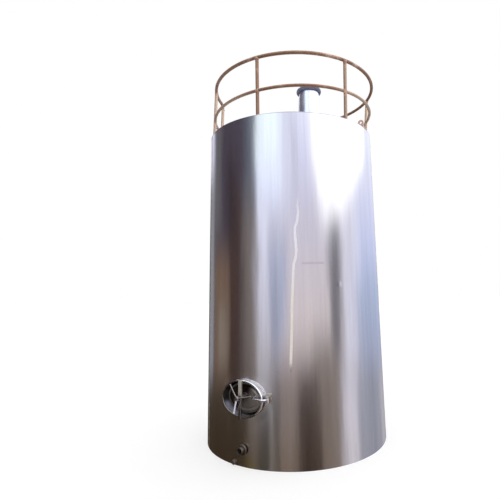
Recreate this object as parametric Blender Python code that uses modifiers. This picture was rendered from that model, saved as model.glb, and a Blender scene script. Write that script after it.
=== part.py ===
"""Vertical storage tank: an insulated, flat-bottomed stainless tank with an oval manway low in the wall,
a bottom outlet, a guard rail round the roof and an agitator drive on top.

The origin is the middle of the flat base, on the floor, with +Z up. Azimuths are in degrees from the -Y
direction, which is the front of the tank, and grow towards +X. A radial frame has its x along the
tangent, its y up and its z outwards, so that the manway and the nozzles are drawn square to the wall.
"""
import math

import bmesh
import bpy
from mathutils import Matrix, Vector

# Driving sizes of the tank, in metres
SHELL_RADIUS = 1.0
WALL_THICKNESS = 0.08
TANK_HEIGHT = 3.45
FLOOR_THICKNESS = 0.08
SHEET_COUNT = 5
FIRST_SEAM_AZIMUTH = 3.0
FACETS = 120
JOINT_GAP = 0.0003

# How meshes are cut and welded
CUTTER_MARGIN = 0.05
WELD_DISTANCE = 0.00005
TURN_MERGE_DISTANCE = 0.0001
TURNED_STEPS = 24
NECK_STEPS = 48

# The rim and the roof
RIM_THICKNESS = 0.006
ROOF_SLOPE = math.radians(14.0)
ROOF_THICKNESS = 0.06

# The manway, an oval neck through the wall
MANWAY_AZIMUTH = -30.25
MANWAY_HEIGHT = 0.609
NECK_HALF_WIDTH = 0.2347
NECK_HALF_HEIGHT = 0.1674
NECK_WALL = 0.006
NECK_INNER_END = 0.885
NECK_OUTER_END = 1.018
LIP_RADIUS = 0.009
COVER_HALF_WIDTH = 0.208
COVER_HALF_HEIGHT = 0.141
COVER_BACK = 0.955
COVER_THICKNESS = 0.010
GASKET_THICKNESS = 0.009
GASKET_WIDTH = 0.020
GASKET_INSET = 0.001
OVAL_POINTS = 64

# The cover's stud, crossbar and three-armed handwheel
STUD_RISE = 0.020
STUD_RADIUS = 0.010
STUD_END = 1.128
BOSS_RADIUS = 0.030
BOSS_THICKNESS = 0.018
CROSSBAR_WIDTH = 0.032
CROSSBAR_DEPTH = 0.024
CROSSBAR_FRONT = 1.066
CROSSBAR_HALF_LENGTH = 0.178
CROSSBAR_FOOT = 0.026
ROD_CLEARANCE = 0.0005
HUB_RADIUS = 0.023
HUB_BACK = 1.072
HUB_FRONT = 1.122
HANDLE_REACH = 0.143
HANDLE_LEAN = 0.020
HANDLE_RADIUS = 0.0075
KNOB_RADIUS = 0.010
KNOB_SEGMENTS = 12
KNOB_RINGS = 8
HANDLE_FIRST_ANGLE = 10.5

# The hinge on the right of the manway
HINGE_TANGENT = 0.285
HINGE_OUTWARD = 1.02
HINGE_HEIGHT = 0.625
PIN_RADIUS = 0.0075
PIN_CLEARANCE = 0.001
PIN_OVERHANG = 0.004
KNUCKLE_RADIUS = 0.016
KNUCKLE_HALF_HEIGHT = 0.018
EAR_GAP = 0.001
EAR_THICKNESS = 0.008
EAR_HALF_WIDTH = 0.017
EAR_SINK = 0.002
BRACKET_HALF_WIDTH = 0.023
BRACKET_HALF_HEIGHT = 0.040
BRACKET_PLATE = 0.010
ARM_RADIUS = 0.009
ARM_OVER_LIP = 1.053
ARM_FOOT_TANGENT = 0.112
ARM_FOOT_RADIUS = 0.022
ARM_FOOT_THICKNESS = 0.012
ARM_SINK = 0.004
# Where the arm starts inside its knuckle, left of the pin and outwards from it
ARM_ROOT = (0.0112, 0.0064)
# The arm's bends, as steps to the left of the pin and back from its height over the lip
ARM_BENDS = ((0.026, 0.009), (0.045, 0.0), (0.085, 0.0), (0.125, 0.006), (0.157, 0.023), (0.171, 0.050))

# The outlet and the drain, low in the wall
OUTLET_AZIMUTH = -30.5
OUTLET_HEIGHT = 0.155
OUTLET_RADIUS = 0.030
OUTLET_BORE = 0.023
OUTLET_END = 1.062
OUTLET_INNER_END = 0.915
OUTLET_FLANGE_BACK = 1.010
OUTLET_FLANGE_FRONT = 1.026
OUTLET_FLANGE_RADIUS = 0.048
DRAIN_AZIMUTH = -37.0
DRAIN_HEIGHT = 0.024
DRAIN_RADIUS = 0.022
DRAIN_END = 1.020

# The lifting lugs on the rim, edge-on to the radius
LUG_AZIMUTHS = {"lifting_lug_right": 58.5, "lifting_lug_left": 238.5}
LUG_MIDDLE = 0.963
LUG_RADIUS = 0.034
LUG_HOLE_RADIUS = 0.014
LUG_HOLE_HEIGHT = 0.070
LUG_THICKNESS = 0.014

# The agitator drive on the roof
DRIVE_X = 0.268
DRIVE_Y = 0.39
DRIVE_NECK_RADIUS = 0.110
DRIVE_NECK_BORE = 0.100
DRIVE_NECK_BOTTOM = 3.44
DRIVE_NECK_TOP = 3.68
DRIVE_FLANGE_RADIUS = 0.160
DRIVE_FLANGE_THICKNESS = 0.016
STOOL_FOOT_RADIUS = 0.150
STOOL_BODY_RADIUS = 0.070
STOOL_HEAD_RADIUS = 0.115
STOOL_PLATE = 0.014
GEARBOX_BOTTOM = 3.83
GEARBOX_RADIUS = 0.093
HOOD_BOTTOM = 3.95
HOOD_FOOT_RADIUS = 0.160
HOOD_HEAD_RADIUS = 0.140
CAP_BOTTOM = 4.335
CAP_RADIUS = 0.174
CAP_CHAMFER = 0.0136
CAP_SHOULDER = 0.017
DRIVE_TOP = 4.395

# The guard rail, whose cage leans a little to the right at its top and whose lower rail rises to the right
POST_FEET = (-104.0, -82.0, -21.4, 38.3, 96.0, 156.0, 216.0)
POST_HEADS = (-104.0, -82.0, -24.0, 34.2, 100.0, 157.0, 216.0)
POST_NAMES = (
    "gap_post_left", "rail_post_left", "rail_post_front_left", "rail_post_front_right",
    "rail_post_right", "rail_post_rear", "gap_post_rear",
)
TUBE_RADIUS = 0.019
MID_TUBE_RADIUS = 0.017
FOOT_CIRCLE = 0.970
FOOT_SHIFT = 0.008
TOP_CIRCLE = 0.999
TOP_SHIFT = 0.057
TOP_RAIL_HEIGHT = 0.668
MID_RAIL_HEIGHT = 0.298
MID_RAIL_RISE = 0.035
END_BEND = 0.075
END_BEND_STEPS = 5
RAIL_STEP = 4.0

WALL_INNER = SHELL_RADIUS - WALL_THICKNESS
INSIDE_RADIUS = WALL_INNER - JOINT_GAP
WALL_TOP = TANK_HEIGHT - RIM_THICKNESS - JOINT_GAP
COVER_FRONT = COVER_BACK + COVER_THICKNESS


def clear_scene():
    """Removes every object of the opened file."""
    for thing in list(bpy.data.objects):
        bpy.data.objects.remove(thing, do_unlink=True)


def new_collection(name):
    """Makes a collection in the scene."""
    collection = bpy.data.collections.new(name)
    bpy.context.scene.collection.children.link(collection)
    return collection


def material(name, colour, roughness, metallic):
    """A Principled material with one plain colour."""
    made = bpy.data.materials.new(name)
    made.use_nodes = True
    shader = made.node_tree.nodes["Principled BSDF"]
    shader.inputs["Base Color"].default_value = (*colour, 1.0)
    shader.inputs["Roughness"].default_value = roughness
    shader.inputs["Metallic"].default_value = metallic
    made.diffuse_color = (*colour, 1.0)
    return made


clear_scene()
TANK = new_collection("vertical_storage_tank")
CUTTERS = new_collection("cutters")
STEEL = ((0.62, 0.62, 0.66), 0.28, 1.0)
BRIGHT_STEEL = ((0.78, 0.77, 0.76), 0.18, 1.0)
DULL_STEEL = ((0.40, 0.38, 0.37), 0.42, 1.0)
RAIL_STEEL = ((0.46, 0.33, 0.25), 0.30, 1.0)
HOOD_STEEL = ((0.82, 0.82, 0.88), 0.30, 1.0)
DRIVE_BLUE = ((0.05, 0.15, 0.42), 0.40, 0.0)
BLACK_RUBBER = ((0.02, 0.02, 0.02), 0.80, 0.0)


def add_object(name, mesh, finish, matrix=None):
    """Puts a mesh in the tank's collection, under its own name and with its own material."""
    thing = bpy.data.objects.new(name, mesh)
    mesh.materials.clear()
    mesh.materials.append(material(name, *finish))
    if matrix is not None:
        thing.matrix_world = matrix
    TANK.objects.link(thing)
    return thing


def as_tool(thing):
    """Moves an object to the cutters, where it only shapes its neighbours."""
    for collection in list(thing.users_collection):
        collection.objects.unlink(thing)
    CUTTERS.objects.link(thing)
    thing.hide_render = True
    thing.display_type = "WIRE"
    return thing


def combine(target, tool, operation):
    """Adds an exact Boolean of the tool to the target."""
    modifier = target.modifiers.new(operation.lower(), "BOOLEAN")
    modifier.operation = operation
    modifier.solver = "EXACT"
    modifier.object = as_tool(tool)


def radial_frame(azimuth, height):
    """The frame at an azimuth and height: x along the tangent, y up and z outwards from the tank's axis."""
    angle = math.radians(azimuth)
    tangent = Vector((math.cos(angle), math.sin(angle), 0.0))
    outward = Vector((math.sin(angle), -math.cos(angle), 0.0))
    frame = Matrix((tangent, Vector((0.0, 0.0, 1.0)), outward)).transposed().to_4x4()
    frame.translation = (0.0, 0.0, height)
    return frame


def on_circle(radius, azimuth, height, shift=0.0):
    """A point on a level circle whose middle may be shifted along X."""
    angle = math.radians(azimuth)
    return Vector((shift + radius * math.sin(angle), -radius * math.cos(angle), height))


def smooth_sides(mesh, limit=30.0):
    """Shades a mesh smooth, with sharp edges kept."""
    mesh.shade_smooth()
    mesh.set_sharp_from_angle(angle=math.radians(limit))


def box(name, low, high, finish, matrix=None):
    """A box between two corners."""
    low = Vector(low)
    high = Vector(high)
    size = high - low
    mesh = bpy.data.meshes.new(name)
    shape = bmesh.new()
    bmesh.ops.create_cube(shape, size=1.0)
    bmesh.ops.transform(shape, matrix=Matrix.Diagonal((*size, 1.0)), verts=shape.verts)
    bmesh.ops.translate(shape, vec=(low + high) / 2.0, verts=shape.verts)
    shape.to_mesh(mesh)
    shape.free()
    return add_object(name, mesh, finish, matrix)


def cylinder(name, radius, start, end, finish, matrix=None, segments=32):
    """A cylinder along the frame's own z axis."""
    mesh = bpy.data.meshes.new(name)
    shape = bmesh.new()
    bmesh.ops.create_cone(
        shape, cap_ends=True, segments=segments, radius1=radius, radius2=radius, depth=end - start
    )
    bmesh.ops.translate(shape, vec=(0.0, 0.0, (start + end) / 2.0), verts=shape.verts)
    shape.to_mesh(mesh)
    shape.free()
    smooth_sides(mesh)
    return add_object(name, mesh, finish, matrix)


def turned(name, profile, finish, matrix=None, steps=32, closed=False):
    """Turns a profile of (radius, height) points, listed down its outer side, about the z axis."""
    mesh = bpy.data.meshes.new(name)
    points = [(radius, 0.0, height) for radius, height in profile]
    edges = [(index, index + 1) for index in range(len(points) - 1)]
    if closed:
        edges.append((len(points) - 1, 0))
    mesh.from_pydata(points, edges, [])
    thing = add_object(name, mesh, finish, matrix)
    screw = thing.modifiers.new("turn", "SCREW")
    screw.steps = steps
    screw.render_steps = steps
    screw.use_merge_vertices = True
    screw.merge_threshold = TURN_MERGE_DISTANCE
    screw.use_smooth_shade = False
    return thing


def tube(name, points, radius, finish, matrix=None, resolution=2, cyclic=False):
    """A round bar along a line of points, as a welded mesh."""
    curve = bpy.data.curves.new(name, "CURVE")
    curve.dimensions = "3D"
    curve.bevel_depth = radius
    curve.bevel_resolution = resolution
    curve.use_fill_caps = True
    line = curve.splines.new("POLY")
    line.points.add(len(points) - 1)
    for place, point in zip(line.points, points):
        place.co = (*point, 1.0)
    line.use_cyclic_u = cyclic
    return welded(name, curve, finish, matrix)


def flat_outline(name, outlines, thickness, finish, matrix=None):
    """An outline, with any holes in it, made as thick as asked about its own middle plane."""
    curve = bpy.data.curves.new(name, "CURVE")
    curve.dimensions = "2D"
    curve.fill_mode = "BOTH"
    curve.extrude = thickness / 2.0
    for outline in outlines:
        line = curve.splines.new("POLY")
        line.points.add(len(outline) - 1)
        for place, point in zip(line.points, outline):
            place.co = (point[0], point[1], 0.0, 1.0)
        line.use_cyclic_u = True
    return welded(name, curve, finish, matrix)


def welded(name, curve, finish, matrix):
    """Turns a curve into a closed mesh object."""
    source = bpy.data.objects.new(name + "_curve", curve)
    CUTTERS.objects.link(source)
    bpy.context.view_layer.update()
    graph = bpy.context.evaluated_depsgraph_get()
    mesh = bpy.data.meshes.new_from_object(source.evaluated_get(graph))
    mesh.name = name
    bpy.data.objects.remove(source, do_unlink=True)
    bpy.data.curves.remove(curve)
    shape = bmesh.new()
    shape.from_mesh(mesh)
    bmesh.ops.remove_doubles(shape, verts=shape.verts, dist=WELD_DISTANCE)
    bmesh.ops.recalc_face_normals(shape, faces=shape.faces)
    shape.to_mesh(mesh)
    shape.free()
    smooth_sides(mesh, 40.0)
    return add_object(name, mesh, finish, matrix)


def oval(half_width, half_height):
    """The points of an ellipse."""
    angles = [2.0 * math.pi * index / OVAL_POINTS for index in range(OVAL_POINTS)]
    return [(half_width * math.cos(angle), half_height * math.sin(angle)) for angle in angles]


def oval_plate(name, half_width, half_height, back, front, finish, hole=None):
    """An oval plate, or an oval ring where a hole is given, between two planes of the manway's frame."""
    outlines = [oval(half_width, half_height)]
    if hole is not None:
        outlines.append(oval(*hole))
    middle = Matrix.Translation((0.0, 0.0, (back + front) / 2.0))
    return flat_outline(name, outlines, front - back, finish, MANWAY_FRAME @ middle)


MANWAY_FRAME = radial_frame(MANWAY_AZIMUTH, MANWAY_HEIGHT)
STUD_FRAME = radial_frame(MANWAY_AZIMUTH, MANWAY_HEIGHT + STUD_RISE)


def wall_panel(name, start_azimuth):
    """One of the wall's curved panels, a rectangle swept round the tank's axis."""
    sweep = 2.0 * math.pi / SHEET_COUNT
    gap_angle = JOINT_GAP / SHELL_RADIUS
    direction = on_circle(1.0, start_azimuth, 0.0)
    turn = Matrix.Rotation(gap_angle / 2.0, 4, "Z")
    corners = [(WALL_INNER, 0.0), (SHELL_RADIUS, 0.0), (SHELL_RADIUS, WALL_TOP), (WALL_INNER, WALL_TOP)]
    mesh = bpy.data.meshes.new(name)
    shape = bmesh.new()
    corner_verts = [
        shape.verts.new(turn @ Vector((direction.x * radius, direction.y * radius, height)))
        for radius, height in corners
    ]
    face = shape.faces.new(corner_verts)
    bmesh.ops.spin(
        shape, geom=[face, *face.edges, *face.verts], cent=(0.0, 0.0, 0.0), axis=(0.0, 0.0, 1.0),
        angle=sweep - gap_angle, steps=FACETS // SHEET_COUNT, use_duplicate=False
    )
    bmesh.ops.recalc_face_normals(shape, faces=shape.faces)
    shape.to_mesh(mesh)
    shape.free()
    smooth_sides(mesh)
    return add_object(name, mesh, STEEL)


def build_shell():
    """The floor, the five wall panels, the rim's flat ring and the roof cone."""
    cylinder("tank_floor", INSIDE_RADIUS, 0.0, FLOOR_THICKNESS, STEEL, segments=FACETS)
    names = ("panel_front_left", "panel_front_right", "panel_rear_right", "panel_rear", "panel_rear_left")
    sheet_angle = 360.0 / SHEET_COUNT
    for index, name in enumerate(names):
        start = FIRST_SEAM_AZIMUTH + sheet_angle * (index - 1)
        panel = wall_panel("shell_" + name, start)
        if start < MANWAY_AZIMUTH < start + sheet_angle:
            cut_wall_openings(panel)
    rim = [
        (WALL_INNER + JOINT_GAP, TANK_HEIGHT), (SHELL_RADIUS, TANK_HEIGHT),
        (SHELL_RADIUS, TANK_HEIGHT - RIM_THICKNESS), (WALL_INNER + JOINT_GAP, TANK_HEIGHT - RIM_THICKNESS),
    ]
    turned("rim_ring", rim, STEEL, steps=FACETS, closed=True)
    edge_height = TANK_HEIGHT - RIM_THICKNESS
    rise = INSIDE_RADIUS * math.tan(ROOF_SLOPE)
    roof_profile = [
        (0.0, edge_height + rise), (INSIDE_RADIUS, edge_height),
        (INSIDE_RADIUS, edge_height - ROOF_THICKNESS), (0.0, edge_height + rise - ROOF_THICKNESS),
    ]
    roof = turned("roof_cone", roof_profile, STEEL, steps=FACETS)
    drive_place = Matrix.Translation((DRIVE_X, DRIVE_Y, 0.0))
    hole = cylinder(
        "roof_hole", DRIVE_NECK_RADIUS + JOINT_GAP, DRIVE_NECK_BOTTOM - CUTTER_MARGIN, DRIVE_NECK_TOP,
        STEEL, drive_place, segments=NECK_STEPS
    )
    combine(roof, hole, "DIFFERENCE")


def cut_wall_openings(panel):
    """Cuts the manway and the outlet through their wall panel."""
    manway_hole = oval_plate(
        "manway_hole", NECK_HALF_WIDTH + JOINT_GAP, NECK_HALF_HEIGHT + JOINT_GAP,
        NECK_INNER_END - CUTTER_MARGIN, SHELL_RADIUS + CUTTER_MARGIN, STEEL
    )
    combine(panel, manway_hole, "DIFFERENCE")
    outlet_hole = cylinder(
        "outlet_hole", OUTLET_RADIUS + JOINT_GAP, WALL_INNER - CUTTER_MARGIN, SHELL_RADIUS + CUTTER_MARGIN,
        STEEL, radial_frame(OUTLET_AZIMUTH, OUTLET_HEIGHT)
    )
    combine(panel, outlet_hole, "DIFFERENCE")


def build_manway():
    """The neck and its rolled lip, then the cover with its gasket, stud, crossbar and handwheel."""
    bore = (NECK_HALF_WIDTH - NECK_WALL, NECK_HALF_HEIGHT - NECK_WALL)
    oval_plate(
        "manway_neck", NECK_HALF_WIDTH, NECK_HALF_HEIGHT, NECK_INNER_END, NECK_OUTER_END, STEEL, hole=bore
    )
    lip_middle = NECK_OUTER_END + JOINT_GAP + LIP_RADIUS
    lip_line = [(x, y, lip_middle) for x, y in oval(NECK_HALF_WIDTH - NECK_WALL / 2.0,
                                                    NECK_HALF_HEIGHT - NECK_WALL / 2.0)]
    tube("manway_lip", lip_line, LIP_RADIUS, BRIGHT_STEEL, MANWAY_FRAME, cyclic=True)
    oval_plate("manway_cover", COVER_HALF_WIDTH, COVER_HALF_HEIGHT, COVER_BACK, COVER_FRONT, DULL_STEEL)
    gasket_back = COVER_FRONT + JOINT_GAP
    gasket_hole = (COVER_HALF_WIDTH - GASKET_WIDTH, COVER_HALF_HEIGHT - GASKET_WIDTH)
    oval_plate(
        "cover_gasket", COVER_HALF_WIDTH - GASKET_INSET, COVER_HALF_HEIGHT - GASKET_INSET,
        gasket_back, gasket_back + GASKET_THICKNESS, BLACK_RUBBER, hole=gasket_hole
    )
    boss_back = COVER_FRONT + JOINT_GAP
    boss_front = boss_back + BOSS_THICKNESS
    turned(
        "cover_stud",
        [(0.0, STUD_END), (STUD_RADIUS, STUD_END), (STUD_RADIUS, boss_front), (BOSS_RADIUS, boss_front),
         (BOSS_RADIUS, boss_back), (0.0, boss_back)],
        BRIGHT_STEEL, STUD_FRAME, steps=TURNED_STEPS
    )
    build_crossbar(lip_middle + LIP_RADIUS + JOINT_GAP)
    build_handwheel()


def build_crossbar(foot_back):
    """The upright bar over the lip, with a foot at each end and a hole for the stud."""
    bar_back = CROSSBAR_FRONT - CROSSBAR_DEPTH
    half = CROSSBAR_HALF_LENGTH
    inner = half - CROSSBAR_FOOT
    side = [
        (foot_back, -half), (CROSSBAR_FRONT, -half), (CROSSBAR_FRONT, half), (foot_back, half),
        (foot_back, inner), (bar_back, inner), (bar_back, -inner), (foot_back, -inner),
    ]
    # The side view is drawn with x outwards and y up, then turned to stand square to the wall
    side_view = Matrix.Rotation(-math.pi / 2.0, 4, "Y")
    bar = flat_outline("crossbar", [side], CROSSBAR_WIDTH, BRIGHT_STEEL, MANWAY_FRAME @ side_view)
    hole = cylinder(
        "crossbar_hole", STUD_RADIUS + ROD_CLEARANCE, bar_back - CUTTER_MARGIN,
        CROSSBAR_FRONT + CUTTER_MARGIN, BRIGHT_STEEL, STUD_FRAME, segments=TURNED_STEPS
    )
    combine(bar, hole, "DIFFERENCE")


def build_handwheel():
    """The hub on the stud, with three arms that lean back towards the tank and end in knobs."""
    bore = STUD_RADIUS + ROD_CLEARANCE
    hub = turned(
        "handwheel",
        [(bore, HUB_FRONT), (HUB_RADIUS, HUB_FRONT), (HUB_RADIUS, HUB_BACK), (bore, HUB_BACK)],
        BRIGHT_STEEL, STUD_FRAME, steps=TURNED_STEPS, closed=True
    )
    arm_root = (HUB_RADIUS + bore) / 2.0
    root_height = (HUB_BACK + 2.0 * HUB_FRONT) / 3.0
    tip_height = root_height - HANDLE_LEAN
    for index in range(3):
        angle = math.radians(HANDLE_FIRST_ANGLE + 120.0 * index)
        along = Vector((math.cos(angle), math.sin(angle), 0.0))
        start = along * arm_root + Vector((0.0, 0.0, root_height))
        end = along * HANDLE_REACH + Vector((0.0, 0.0, tip_height))
        arm = tube(f"handle_arm_{index}", [start, end], HANDLE_RADIUS, BRIGHT_STEEL, STUD_FRAME)
        combine(hub, arm, "UNION")
        knob = bpy.data.meshes.new("knob")
        shape = bmesh.new()
        bmesh.ops.create_uvsphere(
            shape, u_segments=KNOB_SEGMENTS, v_segments=KNOB_RINGS, radius=KNOB_RADIUS
        )
        bmesh.ops.translate(shape, vec=end, verts=shape.verts)
        shape.to_mesh(knob)
        shape.free()
        combine(hub, add_object(f"knob_{index}", knob, BRIGHT_STEEL, STUD_FRAME), "UNION")


def build_hinge():
    """The bracket on the shell with its pin, and the arm that carries the cover round over the lip."""
    pin_azimuth = MANWAY_AZIMUTH + math.degrees(math.atan2(HINGE_TANGENT, HINGE_OUTWARD))
    pin_reach = math.hypot(HINGE_TANGENT, HINGE_OUTWARD)
    frame = radial_frame(pin_azimuth, HINGE_HEIGHT)
    plate_back = SHELL_RADIUS + JOINT_GAP
    plate_front = plate_back + BRACKET_PLATE
    bracket = box(
        "hinge_bracket", (-BRACKET_HALF_WIDTH, -BRACKET_HALF_HEIGHT, plate_back),
        (BRACKET_HALF_WIDTH, BRACKET_HALF_HEIGHT, plate_front), STEEL, frame
    )
    ear_start = KNUCKLE_HALF_HEIGHT + EAR_GAP
    ear_end = ear_start + EAR_THICKNESS
    upright = Matrix.Rotation(-math.pi / 2.0, 4, "X")
    pin_frame = frame @ Matrix.Translation((0.0, 0.0, pin_reach)) @ upright
    pin_end = ear_end + PIN_OVERHANG
    for side in (-1.0, 1.0):
        ear_heights = sorted((side * ear_start, side * ear_end))
        ear = box(
            f"ear_{side}", (-EAR_HALF_WIDTH, ear_heights[0], plate_front - EAR_SINK),
            (EAR_HALF_WIDTH, ear_heights[1], pin_reach + EAR_HALF_WIDTH), STEEL, frame
        )
        combine(bracket, ear, "UNION")
    pin_hole = cylinder(
        "pin_hole", PIN_RADIUS + JOINT_GAP, -pin_end, pin_end, STEEL, pin_frame, segments=TURNED_STEPS
    )
    combine(bracket, pin_hole, "DIFFERENCE")
    cylinder("hinge_pin", PIN_RADIUS, -pin_end, pin_end, BRIGHT_STEEL, pin_frame, segments=TURNED_STEPS)
    build_arm(pin_frame)


def build_arm(pin_frame):
    """The bent round arm from the hinge's knuckle, over the lip, to its foot on the cover."""
    rise = HINGE_HEIGHT - MANWAY_HEIGHT
    foot_back = COVER_FRONT + JOINT_GAP
    foot_front = foot_back + ARM_FOOT_THICKNESS
    line = [(HINGE_TANGENT - ARM_ROOT[0], HINGE_OUTWARD + ARM_ROOT[1])]
    line += [(HINGE_TANGENT - along, ARM_OVER_LIP - back) for along, back in ARM_BENDS]
    line.append((ARM_FOOT_TANGENT, foot_front - ARM_SINK))
    points = [(tangent, rise, outward) for tangent, outward in line]
    knuckle = cylinder(
        "hinge_arm", KNUCKLE_RADIUS, -KNUCKLE_HALF_HEIGHT, KNUCKLE_HALF_HEIGHT, BRIGHT_STEEL, pin_frame,
        segments=TURNED_STEPS
    )
    combine(knuckle, tube("arm_rod", points, ARM_RADIUS, BRIGHT_STEEL, MANWAY_FRAME), "UNION")
    foot_frame = MANWAY_FRAME @ Matrix.Translation((ARM_FOOT_TANGENT, rise, 0.0))
    foot = cylinder("arm_foot", ARM_FOOT_RADIUS, foot_back, foot_front, BRIGHT_STEEL, foot_frame)
    combine(knuckle, foot, "UNION")
    bore = cylinder(
        "knuckle_bore", PIN_RADIUS + PIN_CLEARANCE, -2.0 * KNUCKLE_HALF_HEIGHT, 2.0 * KNUCKLE_HALF_HEIGHT,
        BRIGHT_STEEL, pin_frame, segments=TURNED_STEPS
    )
    combine(knuckle, bore, "DIFFERENCE")


def build_nozzles():
    """The outlet pipe with its collar flange, and the capped drain at the foot of the wall."""
    frame = radial_frame(OUTLET_AZIMUTH, OUTLET_HEIGHT)
    turned(
        "outlet_pipe",
        [(OUTLET_BORE, OUTLET_END), (OUTLET_RADIUS, OUTLET_END),
         (OUTLET_RADIUS, OUTLET_INNER_END), (OUTLET_BORE, OUTLET_INNER_END)],
        STEEL, frame, closed=True
    )
    collar_bore = OUTLET_RADIUS + JOINT_GAP
    turned(
        "outlet_flange",
        [(collar_bore, OUTLET_FLANGE_FRONT), (OUTLET_FLANGE_RADIUS, OUTLET_FLANGE_FRONT),
         (OUTLET_FLANGE_RADIUS, OUTLET_FLANGE_BACK), (collar_bore, OUTLET_FLANGE_BACK)],
        BRIGHT_STEEL, frame, closed=True
    )
    cylinder(
        "drain_stub", DRAIN_RADIUS, SHELL_RADIUS + JOINT_GAP, DRAIN_END, DULL_STEEL,
        radial_frame(DRAIN_AZIMUTH, DRAIN_HEIGHT), segments=TURNED_STEPS
    )


def build_lugs():
    """Two lifting lugs that stand on the rim across from each other, each with a round eye."""
    arc_steps = 12
    arc = [math.pi * index / arc_steps for index in range(arc_steps + 1)]
    outline = [
        (LUG_RADIUS * math.cos(angle), LUG_HOLE_HEIGHT + LUG_RADIUS * math.sin(angle)) for angle in arc
    ]
    outline += [(-LUG_RADIUS, JOINT_GAP), (LUG_RADIUS, JOINT_GAP)]
    hole_steps = 16
    turns = [2.0 * math.pi * index / hole_steps for index in range(hole_steps)]
    hole = [
        (LUG_HOLE_RADIUS * math.cos(angle), LUG_HOLE_HEIGHT + LUG_HOLE_RADIUS * math.sin(angle))
        for angle in turns
    ]
    for name, azimuth in LUG_AZIMUTHS.items():
        foot = on_circle(LUG_MIDDLE, azimuth, TANK_HEIGHT)
        frame = Matrix.Translation(foot) @ Matrix.Rotation(math.radians(azimuth - 90.0), 4, "Z")
        upright = Matrix.Rotation(math.pi / 2.0, 4, "X")
        flat_outline(name, [outline, hole], LUG_THICKNESS, STEEL, frame @ upright)


def build_drive():
    """The agitator drive: neck, flange, stool, gearbox, motor hood and cap, one above the other."""
    place = Matrix.Translation((DRIVE_X, DRIVE_Y, 0.0))
    neck = [
        (DRIVE_NECK_BORE, DRIVE_NECK_TOP), (DRIVE_NECK_RADIUS, DRIVE_NECK_TOP),
        (DRIVE_NECK_RADIUS, DRIVE_NECK_BOTTOM), (DRIVE_NECK_BORE, DRIVE_NECK_BOTTOM),
    ]
    turned("agitator_neck", neck, STEEL, place, steps=NECK_STEPS, closed=True)
    flange_bottom = DRIVE_NECK_TOP + JOINT_GAP
    flange_top = flange_bottom + DRIVE_FLANGE_THICKNESS
    cylinder(
        "agitator_flange", DRIVE_FLANGE_RADIUS, flange_bottom, flange_top, STEEL, place, segments=NECK_STEPS
    )
    stool_bottom = flange_top + JOINT_GAP
    stool_top = GEARBOX_BOTTOM - JOINT_GAP
    foot_top = stool_bottom + STOOL_PLATE
    head_bottom = stool_top - STOOL_PLATE
    stool = [
        (0.0, stool_top), (STOOL_HEAD_RADIUS, stool_top), (STOOL_HEAD_RADIUS, head_bottom),
        (STOOL_BODY_RADIUS, head_bottom), (STOOL_BODY_RADIUS, foot_top),
        (STOOL_FOOT_RADIUS, foot_top), (STOOL_FOOT_RADIUS, stool_bottom), (0.0, stool_bottom),
    ]
    turned("agitator_stool", stool, DULL_STEEL, place)
    cylinder("gearbox", GEARBOX_RADIUS, GEARBOX_BOTTOM, HOOD_BOTTOM - JOINT_GAP, DRIVE_BLUE, place)
    hood_top = CAP_BOTTOM - JOINT_GAP
    hood = [
        (0.0, hood_top), (HOOD_HEAD_RADIUS, hood_top), (HOOD_FOOT_RADIUS, HOOD_BOTTOM), (0.0, HOOD_BOTTOM),
    ]
    turned("motor_hood", hood, HOOD_STEEL, place, steps=NECK_STEPS)
    cap = [
        (0.0, DRIVE_TOP), (HOOD_HEAD_RADIUS, DRIVE_TOP), (CAP_RADIUS, DRIVE_TOP - CAP_SHOULDER),
        (CAP_RADIUS, CAP_BOTTOM + CAP_CHAMFER), (CAP_RADIUS - CAP_CHAMFER, CAP_BOTTOM), (0.0, CAP_BOTTOM),
    ]
    turned("hood_cap", cap, HOOD_STEEL, place, steps=NECK_STEPS)


def rail_point(azimuth, height):
    """A point of the guard rail's cage, whose circle grows and leans between the rim and the top rail."""
    share = height / TOP_RAIL_HEIGHT
    radius = FOOT_CIRCLE + (TOP_CIRCLE - FOOT_CIRCLE) * share
    shift = FOOT_SHIFT + (TOP_SHIFT - FOOT_SHIFT) * share
    return on_circle(radius, azimuth, TANK_HEIGHT + height, shift)


def post_point(index, height):
    """A point on the middle line of a post, which leans evenly from its foot's azimuth to its head's."""
    foot = rail_point(POST_FEET[index], 0.0)
    head = rail_point(POST_HEADS[index], TOP_RAIL_HEIGHT)
    return foot.lerp(head, height / TOP_RAIL_HEIGHT)


def arc_azimuths(start, end, step):
    """Azimuths from start to end in even steps of about the size given."""
    count = max(2, round((end - start) / step))
    return [start + (end - start) * index / count for index in range(count + 1)]


def build_posts():
    """Seven posts on the rim, of which the two beside the access gap meet the ends of the top rail."""
    for index, name in enumerate(POST_NAMES):
        at_gap = index in (0, len(POST_NAMES) - 1)
        top = TOP_RAIL_HEIGHT - (END_BEND if at_gap else TUBE_RADIUS) - JOINT_GAP
        foot = post_point(index, JOINT_GAP)
        head = post_point(index, top)
        level_ends(tube(name, [foot, head], TUBE_RADIUS, RAIL_STEEL, resolution=3), [foot, head])


def level_ends(bar, ends):
    """Makes the ends of a round bar lie level, so that a post and a bent-down rail meet face to face."""
    reach = TUBE_RADIUS + JOINT_GAP
    for vertex in bar.data.vertices:
        for end in ends:
            if (vertex.co - end).length < reach:
                vertex.co.z = end.z


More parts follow.
